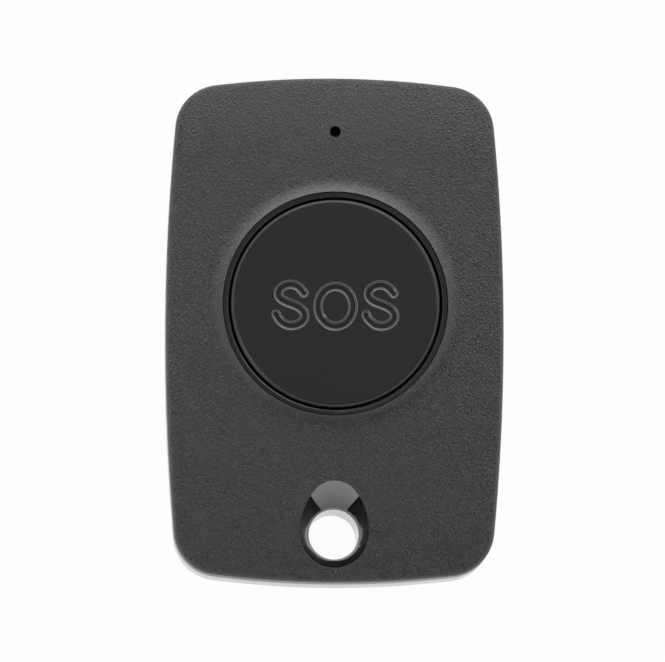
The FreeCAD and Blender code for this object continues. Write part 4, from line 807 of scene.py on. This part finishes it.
# Zinc-plated steel: bluish grey with a soft shine; stainless steel: warmer and a little duller
zinc_steel = rolled_metal("zinc_plated_steel", "#bcc0c6", "#a4a8af",
                          roughness=0.26, streaks=(1500.0, 1500.0, 1500.0))
stainless_steel = rolled_metal("stainless_steel", "#bab7b0", "#a19e97",
                               roughness=0.32, streaks=(1500.0, 1500.0, 1500.0))
for node, finish, head, head_high, shank, pitch, turns, seed in (
        ("board_screws", zinc_steel, 1.7 * MM, 1.1 * MM, 0.8 * MM, 0.6 * MM, 4.0, 7),
        ("housing_screws", stainless_steel, 1.9 * MM, 1.4 * MM, 1.0 * MM, 0.8 * MM, 7.0, 11)):
    core = shank - THREAD_HIGH
    set_out(node, screw(node, head, head_high, core), screws, (2 * head, 2 * head), 2, 2,
            Turn=SCREW_TURN, Seed=seed, Finish=finish, Ends=finish,
            Core=core, Pitch=pitch, Turns=turns, Start=head_high + THREAD_BELOW)


# Floor: a plain sheet of white paper under the case.
# To the eye it is near its own white, and it keeps a soft shadow.
def stage_material(name, colour, glow):
    """Matt white that shows as white paper to the camera and in reflections."""
    material, tree, _ = new_material(name)
    path = add_node(tree, "ShaderNodeLightPath")
    seen = add_node(tree, "ShaderNodeMath", {"operation": "ADD", "use_clamp": True},
                    {0: path.outputs["Is Camera Ray"], 1: path.outputs["Is Glossy Ray"]})
    seen = add_node(tree, "ShaderNodeMath", {"operation": "ADD", "use_clamp": True},
                    {0: seen.outputs[0], 1: path.outputs["Is Transmission Ray"]})
    share = add_node(tree, "ShaderNodeMath", {"operation": "MULTIPLY"}, {0: seen.outputs[0], 1: glow})
    paper = add_node(tree, "ShaderNodeBsdfDiffuse", None, {"Color": linear(colour)})
    white = add_node(tree, "ShaderNodeEmission", None, {"Color": WHITE, "Strength": 1.0})
    mix = add_node(tree, "ShaderNodeMixShader", None,
                   {"Fac": share.outputs[0], 1: paper.outputs[0], 2: white.outputs[0]})
    add_node(tree, "ShaderNodeOutputMaterial", None, {"Surface": mix.outputs[0]})
    return material


# Half the side of the floor, in metres
FLOOR_HALF = 1.5
# The floor lies just clear of the back of the case
FLOOR_LEVEL = -0.02 * MM
# Share of the floor that is its own white; the rest is the shaded floor, with the shadow
FLOOR_GLOW = 0.96
FLOOR_CORNERS = ((-1, -1), (1, -1), (1, 1), (-1, 1))
floor_mesh = bpy.data.meshes.new("floor")
floor_mesh.from_pydata([(x * FLOOR_HALF, y * FLOOR_HALF, FLOOR_LEVEL) for x, y in FLOOR_CORNERS], [],
                       [(0, 1, 2, 3)])
# Matt white paper: no shine, and nearly as bright as the page round it
floor_mesh.materials.append(stage_material("matt_white_floor", "#f2f2f2", FLOOR_GLOW))
floor = bpy.data.objects.new("floor", floor_mesh)
bpy.context.scene.collection.objects.link(floor)


# Light: soft panels round the room, brightest low beyond the head, and dark overhead.
# Each panel has its levels at four heights; one small lamp at the left and one at the head draw thin lines.

# The four heights, as the upward part of a ray
KNOTS = (0.1, 0.4, 0.65, 0.85)
# The colour ramps hold the levels as shares of this
MOST = 10.0
# Keeps the division by the level part of a ray from failing straight overhead
NOT_ZERO = 1.0001
# The axis that a panel faces along, which way, and its levels
PANELS = (("Y", 1.0, (3.5, 2.7, 0.4, 0.0)), ("Y", -1.0, (1.3, 1.1, 0.0, 0.0)),
          ("X", 1.0, (1.1, 1.4, 0.5, 0.0)), ("X", -1.0, (1.6, 1.2, 0.0, 0.0)))
world = bpy.data.worlds.new("studio")
bpy.context.scene.world = world
world.use_nodes = True
room = world.node_tree
room.nodes.clear()
ray = add_node(room, "ShaderNodeSeparateXYZ", None, {
    "Vector": add_node(room, "ShaderNodeTexCoord").outputs["Generated"]}).outputs
steep = add_node(room, "ShaderNodeMath", {"operation": "MULTIPLY"}, {0: ray["Z"], 1: ray["Z"]})
level_part = add_node(room, "ShaderNodeMath", {"operation": "SUBTRACT"}, {0: NOT_ZERO, 1: steep.outputs[0]})
total = 0.0
for axis, way, levels in PANELS:
    toward = add_node(room, "ShaderNodeMath", {"operation": "MULTIPLY", "use_clamp": True},
                      {0: ray[axis], 1: way})
    square = add_node(room, "ShaderNodeMath", {"operation": "POWER"}, {0: toward.outputs[0], 1: 2.0})
    share = add_node(room, "ShaderNodeMath", {"operation": "DIVIDE"},
                     {0: square.outputs[0], 1: level_part.outputs[0]})
    panel = add_node(room, "ShaderNodeValToRGB", None, {"Fac": ray["Z"]})
    stops = panel.color_ramp.elements
    while len(stops) < len(KNOTS):
        stops.new(1.0)
    for stop, knot, level in zip(stops, KNOTS, levels):
        stop.position, stop.color = knot, (level / MOST, level / MOST, level / MOST, 1.0)
    bright = add_node(room, "ShaderNodeMath", {"operation": "MULTIPLY"},
                      {0: panel.outputs[0], 1: share.outputs[0]})
    total = add_node(room, "ShaderNodeMath", {"operation": "ADD"},
                     {0: bright.outputs[0], 1: total}).outputs[0]
full = add_node(room, "ShaderNodeMath", {"operation": "MULTIPLY"}, {0: total, 1: MOST})
soft = add_node(room, "ShaderNodeBackground", None, {"Color": WHITE, "Strength": full.outputs[0]})
paper = add_node(room, "ShaderNodeBackground", None, {"Color": WHITE, "Strength": 1.0})
path = add_node(room, "ShaderNodeLightPath")
look = add_node(room, "ShaderNodeMixShader", None, {
    "Fac": path.outputs["Is Camera Ray"], 1: soft.outputs[0], 2: paper.outputs[0]})
add_node(room, "ShaderNodeOutputWorld", None, {"Surface": look.outputs[0]})


# The point that both lamps are aimed at, and how far from it they stand, in metres
LAMP_AIM = Vector((0.0, 0.0, 8 * MM))
LAMP_AWAY = 0.7


def soft_box(name, turn, off_top, wide, high, power):
    """A rectangular lamp aimed at the case; its turn from X and its tilt off the top are in degrees."""
    lamp = bpy.data.lights.new(name, "AREA")
    lamp.shape = "RECTANGLE"
    lamp.size, lamp.size_y, lamp.energy = wide, high, power
    holder = bpy.data.objects.new(name, lamp)
    bpy.context.scene.collection.objects.link(holder)
    turn, off_top = math.radians(turn), math.radians(off_top)
    away = Vector((math.cos(turn) * math.sin(off_top), math.sin(turn) * math.sin(off_top),
                   math.cos(off_top)))
    facing = away.to_track_quat("Z", "Y").to_matrix().to_4x4()
    holder.matrix_world = Matrix.Translation(LAMP_AIM + away * LAMP_AWAY) @ facing


soft_box("left_strip", turn=203, off_top=30, wide=0.09, high=0.045, power=0.65)
soft_box("head_strip", turn=60, off_top=33, wide=0.3, high=0.15, power=0.5)


# Camera: looks down on the object from a little before its foot, with a long lens.
# Its place, its direction and its turn were fitted to the outline and the button in the photograph.
FOCAL_MM, SENSOR_MM = 359.76, 36.0
CAMERA_PLACE = Vector((-0.032937, -0.096561, 0.799445))
CAMERA_BACK = Vector((-0.04106, -0.12097, 0.991807))
CAMERA_RIGHT = Vector((0.999136, 0.001438, 0.041539))
lens = bpy.data.cameras.new("photo_camera")
lens.sensor_fit = "HORIZONTAL"
lens.sensor_width = SENSOR_MM
lens.lens = FOCAL_MM
camera = bpy.data.objects.new("photo_camera", lens)
bpy.context.scene.collection.objects.link(camera)
back = CAMERA_BACK.normalized()
right = (CAMERA_RIGHT - back * CAMERA_RIGHT.dot(back)).normalized()
up = back.cross(right)
turned = Matrix((right, up, back)).transposed().to_4x4()
camera.matrix_world = Matrix.Translation(CAMERA_PLACE) @ turned
bpy.context.scene.camera = camera


# View: colours show as they are written.
bpy.context.scene.view_settings.view_transform = "Standard"
